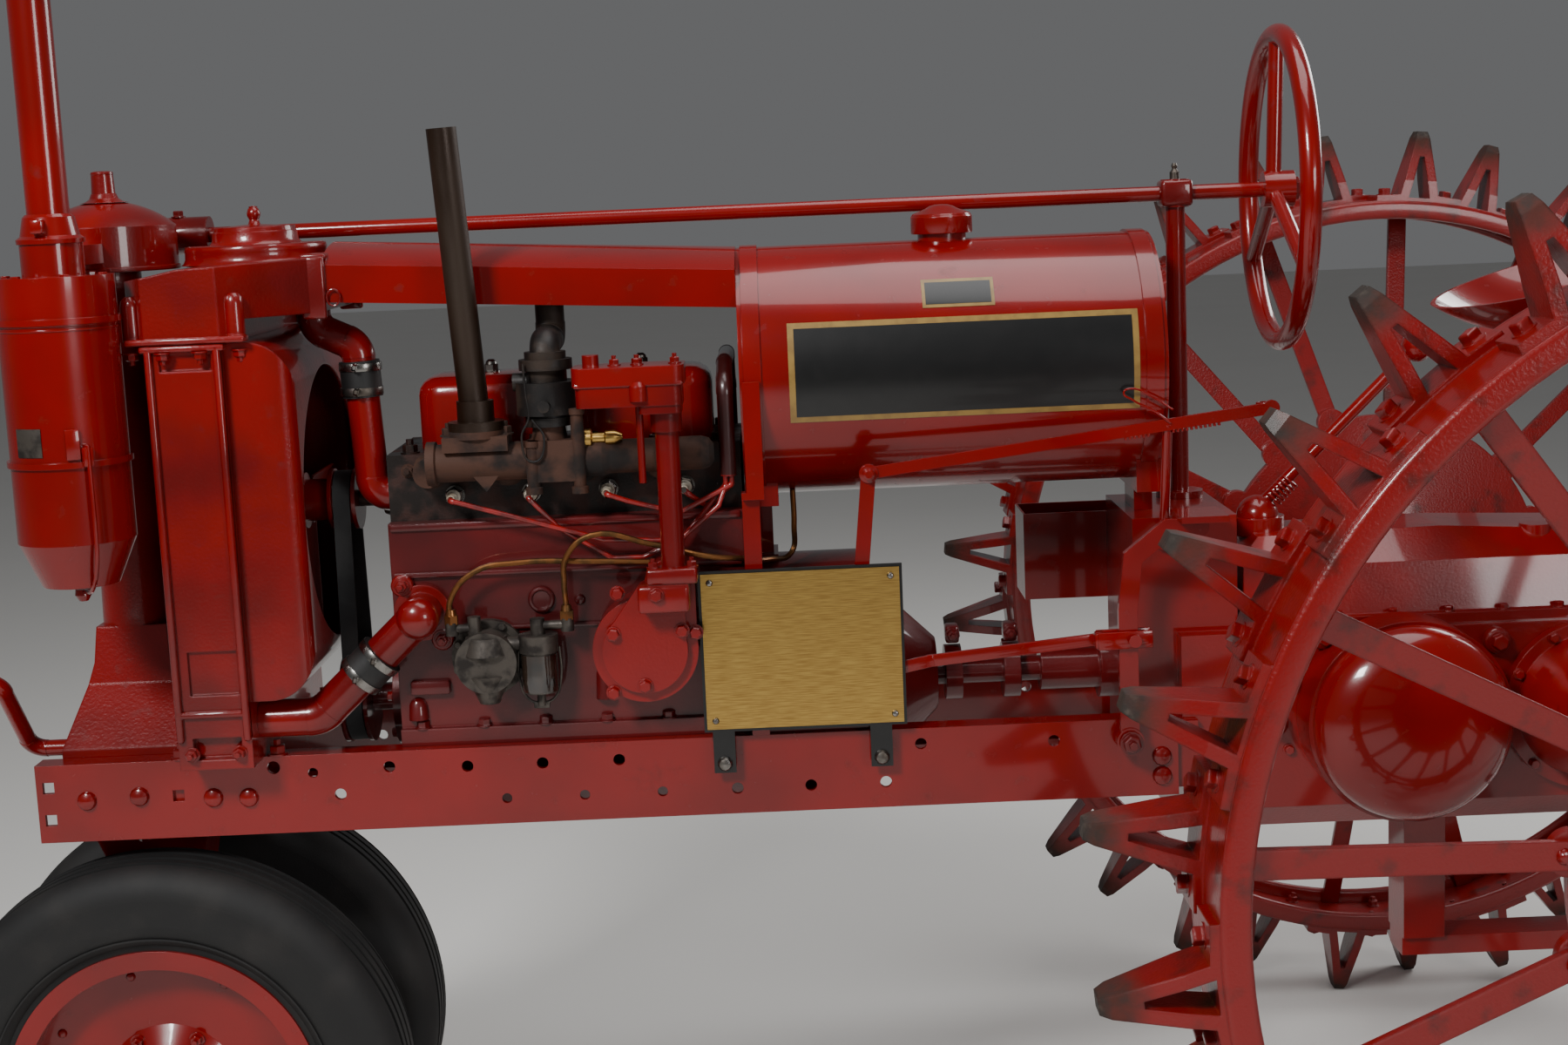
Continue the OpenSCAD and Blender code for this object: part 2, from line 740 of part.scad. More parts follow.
module governor_drive() color(red) {
    egg = [engine_back + 139, rail_top + 134];
    neck = [governor_x + 8, rail_top + 224];
    translate([0, block_half + 32, 0]) along_y(64) {
        translate(egg) circle(72);
        translate(neck) circle(34);
        polygon([
            egg + [-71, 12], neck + [-34, 0], neck + [34, 0], egg + [66, 28]
        ]);
    }
    translate([0, (block_half + governor_y + 24) / 2, 0]) along_y(governor_y + 24 - block_half)
        translate(neck) circle(28);
    // Raised cover on the outer side
    translate([0, block_half + 68, 0]) along_y(12) {
        translate(egg) circle(58);
        polygon([egg + [-57, 10], egg + [-57, 92], egg + [4, 92], egg + [50, 28]]);
    }
    translate([governor_x, governor_y, neck[1]]) cylinder(h = governor_z - 20 - neck[1], r = 16);
    translate([governor_x, governor_y, governor_z - 56]) cylinder(h = 30, r = 21);
    translate([governor_x + 35, governor_y, governor_z - 124]) cylinder(h = 110, r = 5, $fn = 24);
    // Flat head: the box, its deeper rear end, the lid and a small tower
    translate([governor_x + 46, governor_y, governor_z - 19]) linear_extrude(28) round_square(140, 72, 12);
    translate([governor_x + 6, governor_y, governor_z - 30]) linear_extrude(14) round_square(56, 66, 9);
    translate([governor_x + 46, governor_y, governor_z + 9]) linear_extrude(25) round_square(148, 80, 15);
    translate([governor_x + 96, governor_y, governor_z + 30]) cylinder(h = 19, r = 11);
}

module fuel_pump() color(steel) {
    translate([pump_x, block_half, pump_z]) rotate([-90, 0, 0]) {
        cylinder(h = 14, r = 52);
        cylinder(h = 56, r = 42);
    }
    translate([pump_x, pump_y, pump_z - 59]) cylinder(h = 40, r1 = 14, r2 = 30);
    translate([pump_x, pump_y, pump_z + 10]) cylinder(h = 24, r1 = 34, r2 = 28);
    translate([pump_x + 15, pump_y, pump_z + 30]) cylinder(h = 32, r = 9);
    // Glass bowl beside it
    translate([bowl_x, pump_y, pump_z - 46]) {
        cylinder(h = 60, r = 24);
        translate([0, 0, 56]) cylinder(h = 24, r = 27);
        translate([0, 0, 76]) cylinder(h = 26, r = 10);
        translate([0, 0, -20]) cylinder(h = 30, r = 6, $fn = 24);
    }
    bar([bowl_x, pump_y, pump_z + 22], [pump_x, pump_y, pump_z + 22], 10);
    // Fittings of the two lines
    bar([line_front, pump_y, pump_z + 46], [pump_x + 15, pump_y, pump_z + 46], 6);
    bar([line_rear, pump_y, pump_z + 46], [bowl_x, pump_y, pump_z + 46], 6);
    for (x = [line_front, line_rear]) translate([x, pump_y, pump_z + 37]) cylinder(h = 18, r = 9, $fn = 24);
}

module fuel_lines() color(copper) {
    top = pump_z + 55;
    out_y = pump_y + 12;
    tap_x = engine_back - 70;
    tap_y = 60;
    tap_z = tank_z - sqrt(pow(tank_r, 2) - pow(tap_y - line_r, 2)) - seat_gap;
    bent_bar([
        [line_front, pump_y, top], [line_front, pump_y, top + 34], [line_front - 34, pump_y, top + 70],
        [line_front - 96, pump_y, top + 80], [engine_back + 129, pump_y, top + 72]
    ], line_r, 20);
    bent_bar([
        [line_rear, pump_y, top], [line_rear, pump_y, top + 18], [line_rear, out_y, top + 48],
        [line_rear, out_y, top + 84], [line_rear - 40, out_y, top + 116],
        [engine_back + 47, out_y, top + 78], [engine_back + 7, block_half + 24, top + 70],
        [engine_back - 37, 90, top + 54], [tap_x, tap_y, top + 60], [tap_x, tap_y, tap_z]
    ], line_r, 9);
}

module spark_plugs() color("#d8d2c4") {
    for (i = [0 : 3]) translate([plug_x0 - i * plug_pitch, head_half, plug_z]) rotate([-90, 0, 0]) {
        cylinder(h = 12, r = 14, $fn = 6);
        cylinder(h = 45, r = 8);
    }
}

// Plug wires, front to rear: points after the plug and the place in the tube, from the tube's foot
plug_wire_table = [
    [[173, 20, -78], [71, 20, -84], [15, 12, -39], [4.2, 4.2]],
    [[235, 10, -60], [163, 10, -106], [120, 10, -106], [66, 10, -83], [4.2, -4.2]],
    [[139, 20, -26], [69, 18, -46], [-4.2, 4.2]],
    [[31, -10, -43], [-4.2, -4.2]]
];

module plug_wires() color(red) {
    end_y = head_half + 45;
    foot = [engine_back + 17, head_half + 35, block_top + 49];
    far_y = -(head_half + block_half) / 2;
    for (i = [0 : 3]) {
        x = plug_x0 - i * plug_pitch;
        row = plug_wire_table[i];
        last = len(row) - 1;
        place = [row[last][0], row[last][1], 0];
        bent_bar(concat(
            [[x, end_y, plug_z], [x, end_y + 14, plug_z]],
            [for (k = [0 : last - 1]) foot + row[k]],
            [foot + place - [0, 0, 12], foot + place + [0, 0, 14]]
        ), 3.5, 6);
    }
    // Tube over the head to its other side
    bent_bar([
        foot, [foot[0], foot[1], head_top + 84],
        [foot[0], 90, head_top + 108], [foot[0], -90, head_top + 108],
        [foot[0], far_y, head_top + 60], [foot[0], far_y, block_top]
    ], 11, 22);
}

// Drive line

module bell_housing() color(red) {
    intersection() {
        union() {
            translate([bell_back, 0, crank_z]) rotate([0, 90, 0])
                cylinder(h = engine_back - bell_back, r = bell_r);
            translate([cone_front, 0, crank_z]) rotate([0, 90, 0])
                cylinder(h = bell_back - cone_front, r1 = 52, r2 = 150);
        }
        union() {
            translate([cone_front, -bell_half, rail_top + seat_gap])
                cube([engine_back - cone_front, 2 * bell_half, 300]);
            translate([cone_front, -124, crank_z - 200]) cube([engine_back - cone_front, 248, 400]);
        }
    }
    translate([engine_back - 46, -44, crank_z + bell_r - 20]) cube([46, 88, 26]);
}

module clutch_shaft() color(steel) {
    translate([case_front, 0, crank_z]) rotate([0, 90, 0]) {
        cylinder(h = cone_front - case_front, r = 18);
        cylinder(h = 36, r = 46);
        translate([0, 0, 36]) cylinder(h = 84, r = 32);
        for (x = [150, 234]) translate([0, 0, x]) cylinder(h = 24, r = 40);
    }
}

module clutch_pedal() color(red) {
    translate([0, pedal_y, 0]) flat_bar([
        [pedal_x, rail_top - 25], [pedal_x, rail_top + 158], [pedal_x - 8, rail_top + 230],
        [pedal_x - 56, rail_top + 268], [pedal_x - 96, rail_top + 270]
    ], 26, 12);
    translate([pedal_x, rail_out, rail_top - 25]) rotate([-90, 0, 0]) {
        cylinder(h = pedal_y + 14 - rail_out, r = 9);
        translate([0, 0, 10]) cylinder(h = 20, r = 19);
    }
    translate([pedal_x - 100, pedal_y, rail_top + 284]) cube([64, 84, 9], center = true);
}

// Hood and fuel tank

module hood_section(wall) {
    half = hood_half - wall;
    crown = (hood_half * hood_half + hood_rise * hood_rise) / (2 * hood_rise);
    intersection() {
        translate([-half, -200]) square([2 * half, 400]);
        translate([0, -crown]) circle(crown - wall, $fn = 128);
    }
}

module hood() color(red) {
    length = hood_front - tank_front;
    fall = atan2(hood_front_top - hood_rear_top, length);
    intersection() {
        translate([hood_front, 0, hood_front_top]) rotate([0, -fall, 0]) translate([-length / 2, 0, 0])
            along_x(length * 1.2) difference() {
                intersection() {
                    hood_section(0);
                    translate([-hood_half, -hood_side]) square([2 * hood_half, 300]);
                }
                hood_section(hood_t);
            }
        translate([tank_front, -200, tank_z]) cube([length, 400, 400]);
    }
}

module tank_body(grow) {
    translate([tank_back, 0, tank_z]) rotate([0, 90, 0]) cylinder(h = tank_l, r = tank_r + grow, $fn = 128);
}

module fuel_tank() color(red) {
    tank_body(0);
    for (x = [tank_back + 6, tank_front - 30])
        translate([x, 0, tank_z]) rotate([0, 90, 0]) cylinder(h = 24, r = tank_r + 3, $fn = 128);
    translate([cap_x, 0, tank_z + tank_r - 20]) {
        cylinder(h = 36, r = 34);
        cylinder(h = 54, r = 28);
        translate([0, 0, 36]) cylinder(h = 18, r = 42);
    }
}

module tank_supports() color(red) {
    front_x0 = engine_back - 40;
    front_z0 = crank_z + bell_r + 6;
    difference() {
        union() {
            translate([front_x0, -24, front_z0]) cube([30, 48, tank_z - front_z0 - 100]);
            translate([front_x0 - 10, -90, tank_z - tank_r - 8]) cube([46, 180, 60]);
            translate([case_front - 42, -40, nose_top]) cube([26, 80, tank_z - nose_top - 100]);
            translate([case_front - 45, -110, tank_z - tank_r - 8]) cube([36, 220, 70]);
            // Straps from the tank's front end down to the rails
            both_sides() {
                translate([engine_back - 31, tank_r + 4, tank_z - 160]) cube([24, 5, 160]);
                translate([engine_back - 31, rail_out - 8, tank_z - 160])
                    cube([31, tank_r - rail_out + 17, 10]);
                translate([engine_back - 24, rail_out - 8, rail_top]) cube([24, 8, tank_z - 155 - rail_top]);
            }
        }
        translate([tank_back - 100, 0, tank_z]) rotate([0, 90, 0])
            cylinder(h = tank_l + 200, r = tank_r, $fn = 128);
        for (x = [tank_back + 6, tank_front - 30])
            translate([x, 0, tank_z]) rotate([0, 90, 0]) cylinder(h = 24, r = tank_r + 3, $fn = 128);
    }
}

module control_rod() color(red) {
    front = [bell_back - 8, tank_z - 131];
    rear = [case_front - 182, tank_z - 66];
    lever_foot = [bell_back + 18, crank_z + 74];
    strap_x = case_front - 42;
    strap_r = 7;
    translate([0, control_y, 0]) {
        flat_bar([front, rear], 16, 6);
        flat_bar([front, lever_foot], 20, 6);
    }
    translate([lever_foot[0], bell_half, lever_foot[1]]) rotate([-90, 0, 0])
        cylinder(h = control_y + 8 - bell_half, r = 10);
    // Strap down to the front casting
    bar([strap_x, control_y - 3, tank_z - 82], [strap_x, nose_half + strap_r + 1, nose_top - 30], strap_r);
    translate([strap_x, nose_half, nose_top - 30]) rotate([-90, 0, 0]) cylinder(h = 10, r = 2 * strap_r);
}

module tool_tray() color(red) {
    difference() {
        translate([case_front - 87, -tray_in - 110, flange_z + 9]) cube([211, 110, 130]);
        translate([case_front - 84, -tray_in - 107, flange_z + 12]) cube([205, 104, 130]);
    }
}

// Transmission and rear axle

module transmission_case() color(red) {
    difference() {
        union() {
            translate([case_back, -case_half, case_z])
                cube([case_front - 60 - case_back, 2 * case_half, case_h]);
            translate([case_front - 145, -nose_half, case_z + 78])
                cube([145, 2 * nose_half, nose_top - case_z - 78]);
            translate([case_front - 44, 0, rail_z + rail_h / 2])
                cube([
                    72, 2 * (rail_out - rail_t - seat_gap), rail_h - 2 * rail_t - 2 * seat_gap
                ], center = true);
        }
        // Rounded lower edges
        both_sides() translate([(case_front + case_back) / 2, case_half, case_z]) rotate([45, 0, 0])
            cube([case_front - case_back + 2, 50, 50], center = true);
    }
}

module transmission_cover() color(red) {
    front = case_front - 146;
    back = case_back + 10;
    translate([back, -case_half + 8, flange_z]) cube([front - back, 2 * case_half - 16, 16]);
    intersection() {
        along_y(2 * case_half - 40) polygon([
            [front - 6, flange_z], [front - 10, cover_top - 30], [front - 40, cover_top - 4],
            [front - 300, cover_top], [back + 190, cover_top - 10], [back + 130, flange_z]
        ]);
        translate([(front + back) / 2, 0, 0]) along_x(front - back) polygon([
            [-case_half + 22, flange_z], [-case_half + 40, cover_top - 40], [-60, cover_top],
            [60, cover_top], [case_half - 40, cover_top - 40], [case_half - 22, flange_z]
        ]);
    }
    translate([lever_x, 0, cover_top - 10]) cylinder(h = 26, r = 38);
    translate([rear_x + 41, 60, cover_top - 40]) cylinder(h = 38, r = 22);
    translate([seat_x, 0, flange_z + 10]) cylinder(h = cover_top - flange_z - 8, r = 44);
}

module axle_housings() color(red) both_sides() {
    difference() {
        translate([rear_x, case_half, axle_z]) rotate([-90, 0, 0]) {
            cylinder(h = 18, r = brake_ahead - brake_r - 4);
            cylinder(h = housing_out - case_half - 30, r1 = 104, r2 = 62);
            translate([0, 0, housing_out - case_half - 34]) cylinder(h = 34, r = 66);
        }
        translate([rear_x, housing_out - axle_in, axle_z]) rotate([-90, 0, 0])
            cylinder(h = axle_in + 1, r = axle_r + run_gap);
    }
}

module brake_covers() color(red) both_sides() {
    translate([rear_x + brake_ahead, case_half, axle_z]) rotate([-90, 0, 0]) {
        cylinder(h = 70, r = brake_r);
        translate([0, 0, 70]) cylinder(h = 36, r1 = brake_r - 8, r2 = brake_r - 50);
        cylinder(h = 130, r = 30);
    }
}

module gearshift_lever() color(red) {
    dome_r = 30;
    base = [lever_x, 0, cover_top + 16];
    knob = [knob_x, 0, cover_top + knob_rise];
    intersection() {
        translate(base) sphere(dome_r);
        translate(base) cylinder(h = dome_r, r = dome_r + 1);
    }
    bar(base + [0, 0, dome_r / 3], knob, 9);
    translate(knob) sphere(knob_r);
}

// Seat and drawbar

module seat() color(red) {
    bowl_r = (seat_r * seat_r + seat_depth * seat_depth) / (2 * seat_depth);
    translate([seat_x, 0, cover_top + 2]) cylinder(h = seat_z - cover_top - 30, r = 26);
    translate([seat_x, 0, seat_z - 60]) cylinder(h = 52, r = 34);
    translate([seat_x, 0, seat_z - 14]) rotate([0, seat_tilt, 0]) difference() {
        translate([0, 0, bowl_r]) sphere(bowl_r, $fn = 128);
        translate([0, 0, bowl_r]) sphere(bowl_r - 5, $fn = 128);
        translate([0, 0, bowl_r + seat_depth]) cube([4 * bowl_r, 4 * bowl_r, 2 * bowl_r], center = true);
    }
}

module drawbar() color(red) {
    bar_front = case_front - 400;
    bar_back = case_back - 180;
    difference() {
        translate([bar_back, -32, drawbar_z - 14]) cube([bar_front - bar_back, 64, 28]);
        translate([bar_back + 34, 0, drawbar_z - 20]) cylinder(h = 40, r = drawbar_hole_r);
    }
    translate([bar_front - 60, -40, drawbar_z + 14]) cube([60, 80, case_z - drawbar_z - 14]);
    difference() {
        translate([case_back - 60, -240, drawbar_z - 34]) cube([60, 480, 20]);
        both_sides() translate([case_back - 30, 160, drawbar_z - 40]) cylinder(h = 40, r = bolt_hole_r);
    }
    both_sides() {
        translate([case_back - 60, 220, drawbar_z - 34]) cube([60, 20, case_z + 90 - drawbar_z]);
        translate([case_back - 60, 90, case_z + 36]) cube([60, 150, 20]);
        translate([case_back - 12, 90, case_z + 20]) cube([12, 60, 80]);
    }
}

module name_plate() color(brass) {
    translate([plate_x, plate_y, plate_z]) cube([270, 2, 216]);
}

module plate_bracket() color(black) {
    translate([plate_x - 4, plate_y - 5, plate_z - 4]) cube([278, 5, 224]);
    for (x = [32, 248]) {
        translate([plate_x + x - 15, plate_y - 5, rail_top - 46]) cube([30, 5, plate_z - rail_top + 46]);
        translate([plate_x + x, rail_out, rail_top - 30]) rotate([-90, 0, 0])
            cylinder(h = plate_y - 5 - rail_out, r = 12);
    }
}

// Air cleaner and hand crank

module air_cleaner() color(red) {
    difference() {
        union() {
            translate([king_x, can_y, rail_top + 267]) {
                cylinder(h = 60, r1 = can_r - 26, r2 = can_r);
                translate([0, 0, 60]) cylinder(h = 346, r = can_r);
                for (z = [161, 345]) translate([0, 0, z]) cylinder(h = 8, r = can_r + 4);
                translate([0, 0, 400]) cylinder(h = 48, r = 40);
            }
            translate([king_x, can_y, column_top]) cylinder(h = stack_top - 70 - column_top, r = stack_r);
            translate([king_x, can_y, stack_top - 90]) cylinder(h = 70, r = stack_r + 30);
            translate([king_x, can_y, stack_top - 20]) cylinder(h = 20, r1 = stack_r + 34, r2 = 16);
            translate([king_x - 20, gear_r - 20, column_top + 14]) cube([40, can_y - gear_r, 26]);
        }
        translate([king_x, 0, column_top]) cylinder(h = 70, r = gear_r);
    }
}

module hand_crank() color(red) {
    face = king_x + column_half;
    z = rail_top - 16;
    bent_bar([
        [face, 0, z], [rail_front + 60, 0, z],
        [rail_front + 66, 90, z + 120], [rail_front + 170, 90, z + 124]
    ], 12, 24);
}

// Front wheels

module front_axle() color(red) {
    translate([king_x, 0, rail_z - 20]) cylinder(h = 18, r = 84);
    translate([king_x, 0, rail_z - 10]) cylinder(h = king_depth + 8, r = king_r);
    intersection() {
        along_y(2 * pedestal_half) polygon([
            [king_x - 84, rail_z - 20], [king_x + 84, rail_z - 20], [king_x + 70, rail_z - 60],
            [king_x + 30, rail_z - 150], [front_x + 46, front_z + 30], [front_x + 40, front_z - 46],
            [front_x - 40, front_z - 46], [front_x - 46, front_z + 30], [king_x - 60, rail_z - 150],
            [king_x - 76, rail_z - 60]
        ]);
        translate([king_x, 0, 0]) along_x(400) polygon([
            [-pedestal_half, rail_z - 20], [pedestal_half, rail_z - 20], [pedestal_half - 8, rail_z - 80],
            [pedestal_half - 16, front_z + 80], [pedestal_half - 8, front_z - 46],
            [8 - pedestal_half, front_z - 46], [16 - pedestal_half, front_z + 80],
            [8 - pedestal_half, rail_z - 80]
        ]);
    }
    both_sides() front_wheel_place() {
        translate([0, 0, -front_tread / 2]) cylinder(h = front_tread / 2 + 44, r = spindle_r);
        translate([0, 0, -front_tread / 2 + 10]) cylinder(h = front_tread / 2 - 62, r = spindle_r + 12);
    }
}

// Puts what is drawn about +Z at the left front wheel, with +Z outward along its spindle
module front_wheel_place() {
    translate([front_x, front_tread / 2, front_z]) rotate([-90 - camber, 0, 0]) children();
}

module front_tyre() {
    height = tyre_r - front_seat_r - 14;
    rotate_extrude($fn = 96) difference() {
        union() {
            translate([front_seat_r + 14 + height / 2, 0]) round_square(height, tyre_w, tyre_crown);
            translate([front_seat_r, -front_rim_w / 2]) square([40, front_rim_w]);
        }
        for (y = [-32, -11, 11, 32]) translate([tyre_r - 9, y - 4]) square([12, 8]);
    }
}

module front_rim() {
    rotate_extrude($fn = 96)
        polygon([
            [front_seat_r - 10, -front_rim_w / 2 - 5], [front_flange_r, -front_rim_w / 2 - 5],
            [front_flange_r, -front_rim_w / 2], [front_seat_r, -front_rim_w / 2],
            [front_seat_r, front_rim_w / 2], [front_flange_r, front_rim_w / 2],
            [front_flange_r, front_rim_w / 2 + 5], [front_seat_r - 10, front_rim_w / 2 + 5]
        ]);
    difference() {
        union() {
            translate([0, 0, 6]) cylinder(h = 8, r = front_seat_r - 4);
            translate([0, 0, -46]) cylinder(h = 94, r = front_hub_r);
            translate([0, 0, 10]) cylinder(h = 22, r1 = 100, r2 = 66);
            translate([0, 0, 48]) cylinder(h = 8, r1 = 34, r2 = 26);
        }
        translate([0, 0, -48]) cylinder(h = 48 + 44 + seat_gap, r = spindle_r + run_gap);
    }
}

module front_tyre_left() color(black) front_wheel_place() front_tyre();
module front_tyre_right() color(black) mirror([0, 1, 0]) front_wheel_place() front_tyre();
module front_rim_left() color(red) front_wheel_place() front_rim();
module front_rim_right() color(red) mirror([0, 1, 0]) front_wheel_place() front_rim();

// Rear wheels

// Puts what is drawn about +Z at the left rear wheel, with +Z outward along the axle
module rear_wheel_place() {
    translate([rear_x, wheel_y, axle_z]) rotate([-90, 0, 0]) children();
}

// One lug: two legs that meet at a worn tip, on feet that hug the rim. X runs along the rim, Y outward.
module lug_outline() {
    knee = lug_base / 2;
    foot = knee + lug_foot;
    sink = 5;
    rise = sqrt(pow(rim_r + lug_t, 2) - foot * foot) - rim_r;
    difference() {
        polygon([
            [-foot, -sink], [foot, -sink], [foot, rise], [knee + 2, lug_t], [lug_tip / 2 + 3, lug_h - 10],
            [lug_tip / 2, lug_h], [-lug_tip / 2, lug_h], [-lug_tip / 2 - 3, lug_h - 10], [-knee - 2, lug_t],
            [-foot, rise]
        ]);
        polygon([
            [lug_t + 3 - knee, sink], [knee - lug_t - 3, sink],
            [4, lug_h - lug_web], [-4, lug_h - lug_web]
        ]);
    }
}

module lug_solid() {
    tip_half = lug_w / 3;
    intersection() {
        linear_extrude(lug_w, center = true) translate([0, rim_r]) lug_outline();
        translate([0, rim_r, 0]) rotate([0, 90, 0]) linear_extrude(300, center = true) polygon([
            [-lug_w / 2, -10], [lug_w / 2, -10], [lug_w / 2, 36],
            [tip_half, lug_h - 12], [tip_half - 8, lug_h],
            [8 - tip_half, lug_h], [-tip_half, lug_h - 12], [-lug_w / 2, 36]
        ]);
    }
}

module rear_rim() {
    rotate_extrude($fn = 128) difference() {
        translate([rim_r - rim_flange, -rim_w / 2]) square([rim_flange, rim_w]);
        translate([rim_r - rim_flange - 1, rim_t - rim_w / 2])
            square([rim_flange + 1 - rim_t, rim_w - 2 * rim_t]);
    }
    for (row = [-1, 1], i = [0 : lug_count - 1])
        translate([0, 0, row * row_y]) rotate(i * lug_step + row * lug_phase) lug_solid();
}

module rear_spokes() {
    slope = atan(dish);
    end_y = rim_w / 2 - rim_t - spoke_t / 2 / cos(slope) - seat_gap;
    run = (spoke_rim_r - spoke_hub_r) / cos(slope);
    plate_y = end_y - (spoke_rim_r - lobe_r) * dish - (spoke_t + plate_t) / 2 / cos(slope) + 1;
    hub_y = plate_y - (lobe_r - boss_r) * dish;
    for (i = [0 : spoke_count - 1]) rotate(i * lug_step + 90 - lug_phase)
        intersection() {
            translate([spoke_rim_r, 0, end_y]) rotate([0, -slope, 0])
                translate([-run, -spoke_w / 2, -spoke_t / 2]) cube([run + 20, spoke_w, spoke_t]);
            translate([0, 0, -200]) cylinder(h = 400, r = spoke_rim_r, $fn = 128);
        }
    intersection() {
        rotate_extrude($fn = 128) polygon([
            [boss_r - 10, hub_y - plate_t / 2], [lobe_r + 30, plate_y + 30 * dish - plate_t / 2],
            [lobe_r + 30, plate_y + 30 * dish + plate_t / 2], [boss_r - 10, hub_y + plate_t / 2]
        ]);
        translate([0, 0, hub_y - 60]) linear_extrude(200) hub_outline();
    }
    translate([0, 0, hub_y - 56]) cylinder(h = 130, r = boss_r);
    translate([0, 0, hub_y + 60]) cylinder(h = 34, r = boss_r - 26);
    translate([0, 0, -wheel_y + housing_out - axle_in])
        cylinder(h = wheel_y - housing_out + axle_in, r = axle_r);
}

module hub_outline() {
    circle(lobe_r - 26, $fn = 128);
    for (i = [0 : spoke_count - 1]) rotate(i * lug_step + 90 - lug_phase) translate([lobe_r - 26, 0])
        circle(26);
}

module rear_rim_left() color(steel) rear_wheel_place() rear_rim();
module rear_rim_right() color(steel) mirror([0, 1, 0]) rear_wheel_place() rear_rim();
module rear_spokes_left() color(red) rear_wheel_place() rear_spokes();
module rear_spokes_right() color(red) mirror([0, 1, 0]) rear_wheel_place() rear_spokes();

frame_rails();
front_column();
steering_gear_case();
steering_post();
radiator_core();
radiator_casting();
radiator_top_tank();
fan_shroud();
water_pipes();
water_hoses();
engine_block();
cylinder_head();
valve_cover();
manifold();
exhaust_pipe();
carburettor();
governor_drive();
fuel_pump();
fuel_lines();
spark_plugs();
plug_wires();
bell_housing();
clutch_shaft();
clutch_pedal();
hood();
fuel_tank();
tank_supports();
control_rod();
tool_tray();
transmission_case();
transmission_cover();
axle_housings();
brake_covers();
gearshift_lever();
seat();
drawbar();
name_plate();
plate_bracket();
air_cleaner();
hand_crank();
front_axle();
front_rim_left();
front_tyre_left();
front_rim_right();
front_tyre_right();
rear_rim_left();
rear_spokes_left();
rear_rim_right();
rear_spokes_right();
steering_wheel();
fan();
fan_belt();
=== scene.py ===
"""A row-crop tractor of the 1930s: finishes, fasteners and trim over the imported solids.

Metres, with degrees for angles that callers give. +X is forward, +Y is the tractor's left, +Z is up.
"""

import logging
import math
from dataclasses import dataclass
from enum import Enum
from typing import Callable, Iterable, NamedTuple, Sequence

import bmesh
import bpy
from mathutils import Matrix, Vector


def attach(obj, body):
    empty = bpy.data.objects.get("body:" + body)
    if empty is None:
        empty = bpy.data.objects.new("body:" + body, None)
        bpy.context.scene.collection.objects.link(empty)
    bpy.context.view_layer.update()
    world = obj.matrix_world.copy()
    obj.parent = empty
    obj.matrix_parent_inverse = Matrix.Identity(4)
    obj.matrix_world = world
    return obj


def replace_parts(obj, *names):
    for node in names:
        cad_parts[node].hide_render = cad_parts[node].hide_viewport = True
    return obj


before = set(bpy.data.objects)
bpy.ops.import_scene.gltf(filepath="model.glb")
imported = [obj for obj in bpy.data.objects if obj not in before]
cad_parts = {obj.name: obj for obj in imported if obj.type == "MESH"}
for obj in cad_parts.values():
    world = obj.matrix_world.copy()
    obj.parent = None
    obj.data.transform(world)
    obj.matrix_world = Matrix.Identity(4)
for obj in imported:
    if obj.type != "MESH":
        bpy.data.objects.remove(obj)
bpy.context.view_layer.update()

LOG = logging.getLogger("tractor")
Piece = bpy.types.Object
Socket = bpy.types.NodeSocket
Point = tuple[float, float, float]
Profile = Sequence[tuple[float, float]]
MM = 0.001
WAVE_LENGTH = 6.28
SMOOTH_BELOW = 32
CIRCLE_SPIN = 17
SIDES = (1, -1)
LEFT: Point = (0, 1, 0)
FORWARD: Point = (1, 0, 0)
BACK: Point = (-1, 0, 0)
UP: Point = (0, 0, 1)
DOWN: Point = (0, 0, -1)


# Materials


def linear(colour: str) -> tuple[float, float, float, float]:
    """Turns an sRGB hex colour into linear values, with an alpha of 1."""
    parts = [int(colour[i : i + 2], 16) / 255 for i in (1, 3, 5)]
    r, g, b = (p / 12.92 if p <= 0.04045 else ((p + 0.055) / 1.055) ** 2.4 for p in parts)
    return (r, g, b, 1.0)


def per_metre(size_mm: float) -> float:
    """The texture scale that gives features of a size in millimetres."""
    return 1000 / size_mm


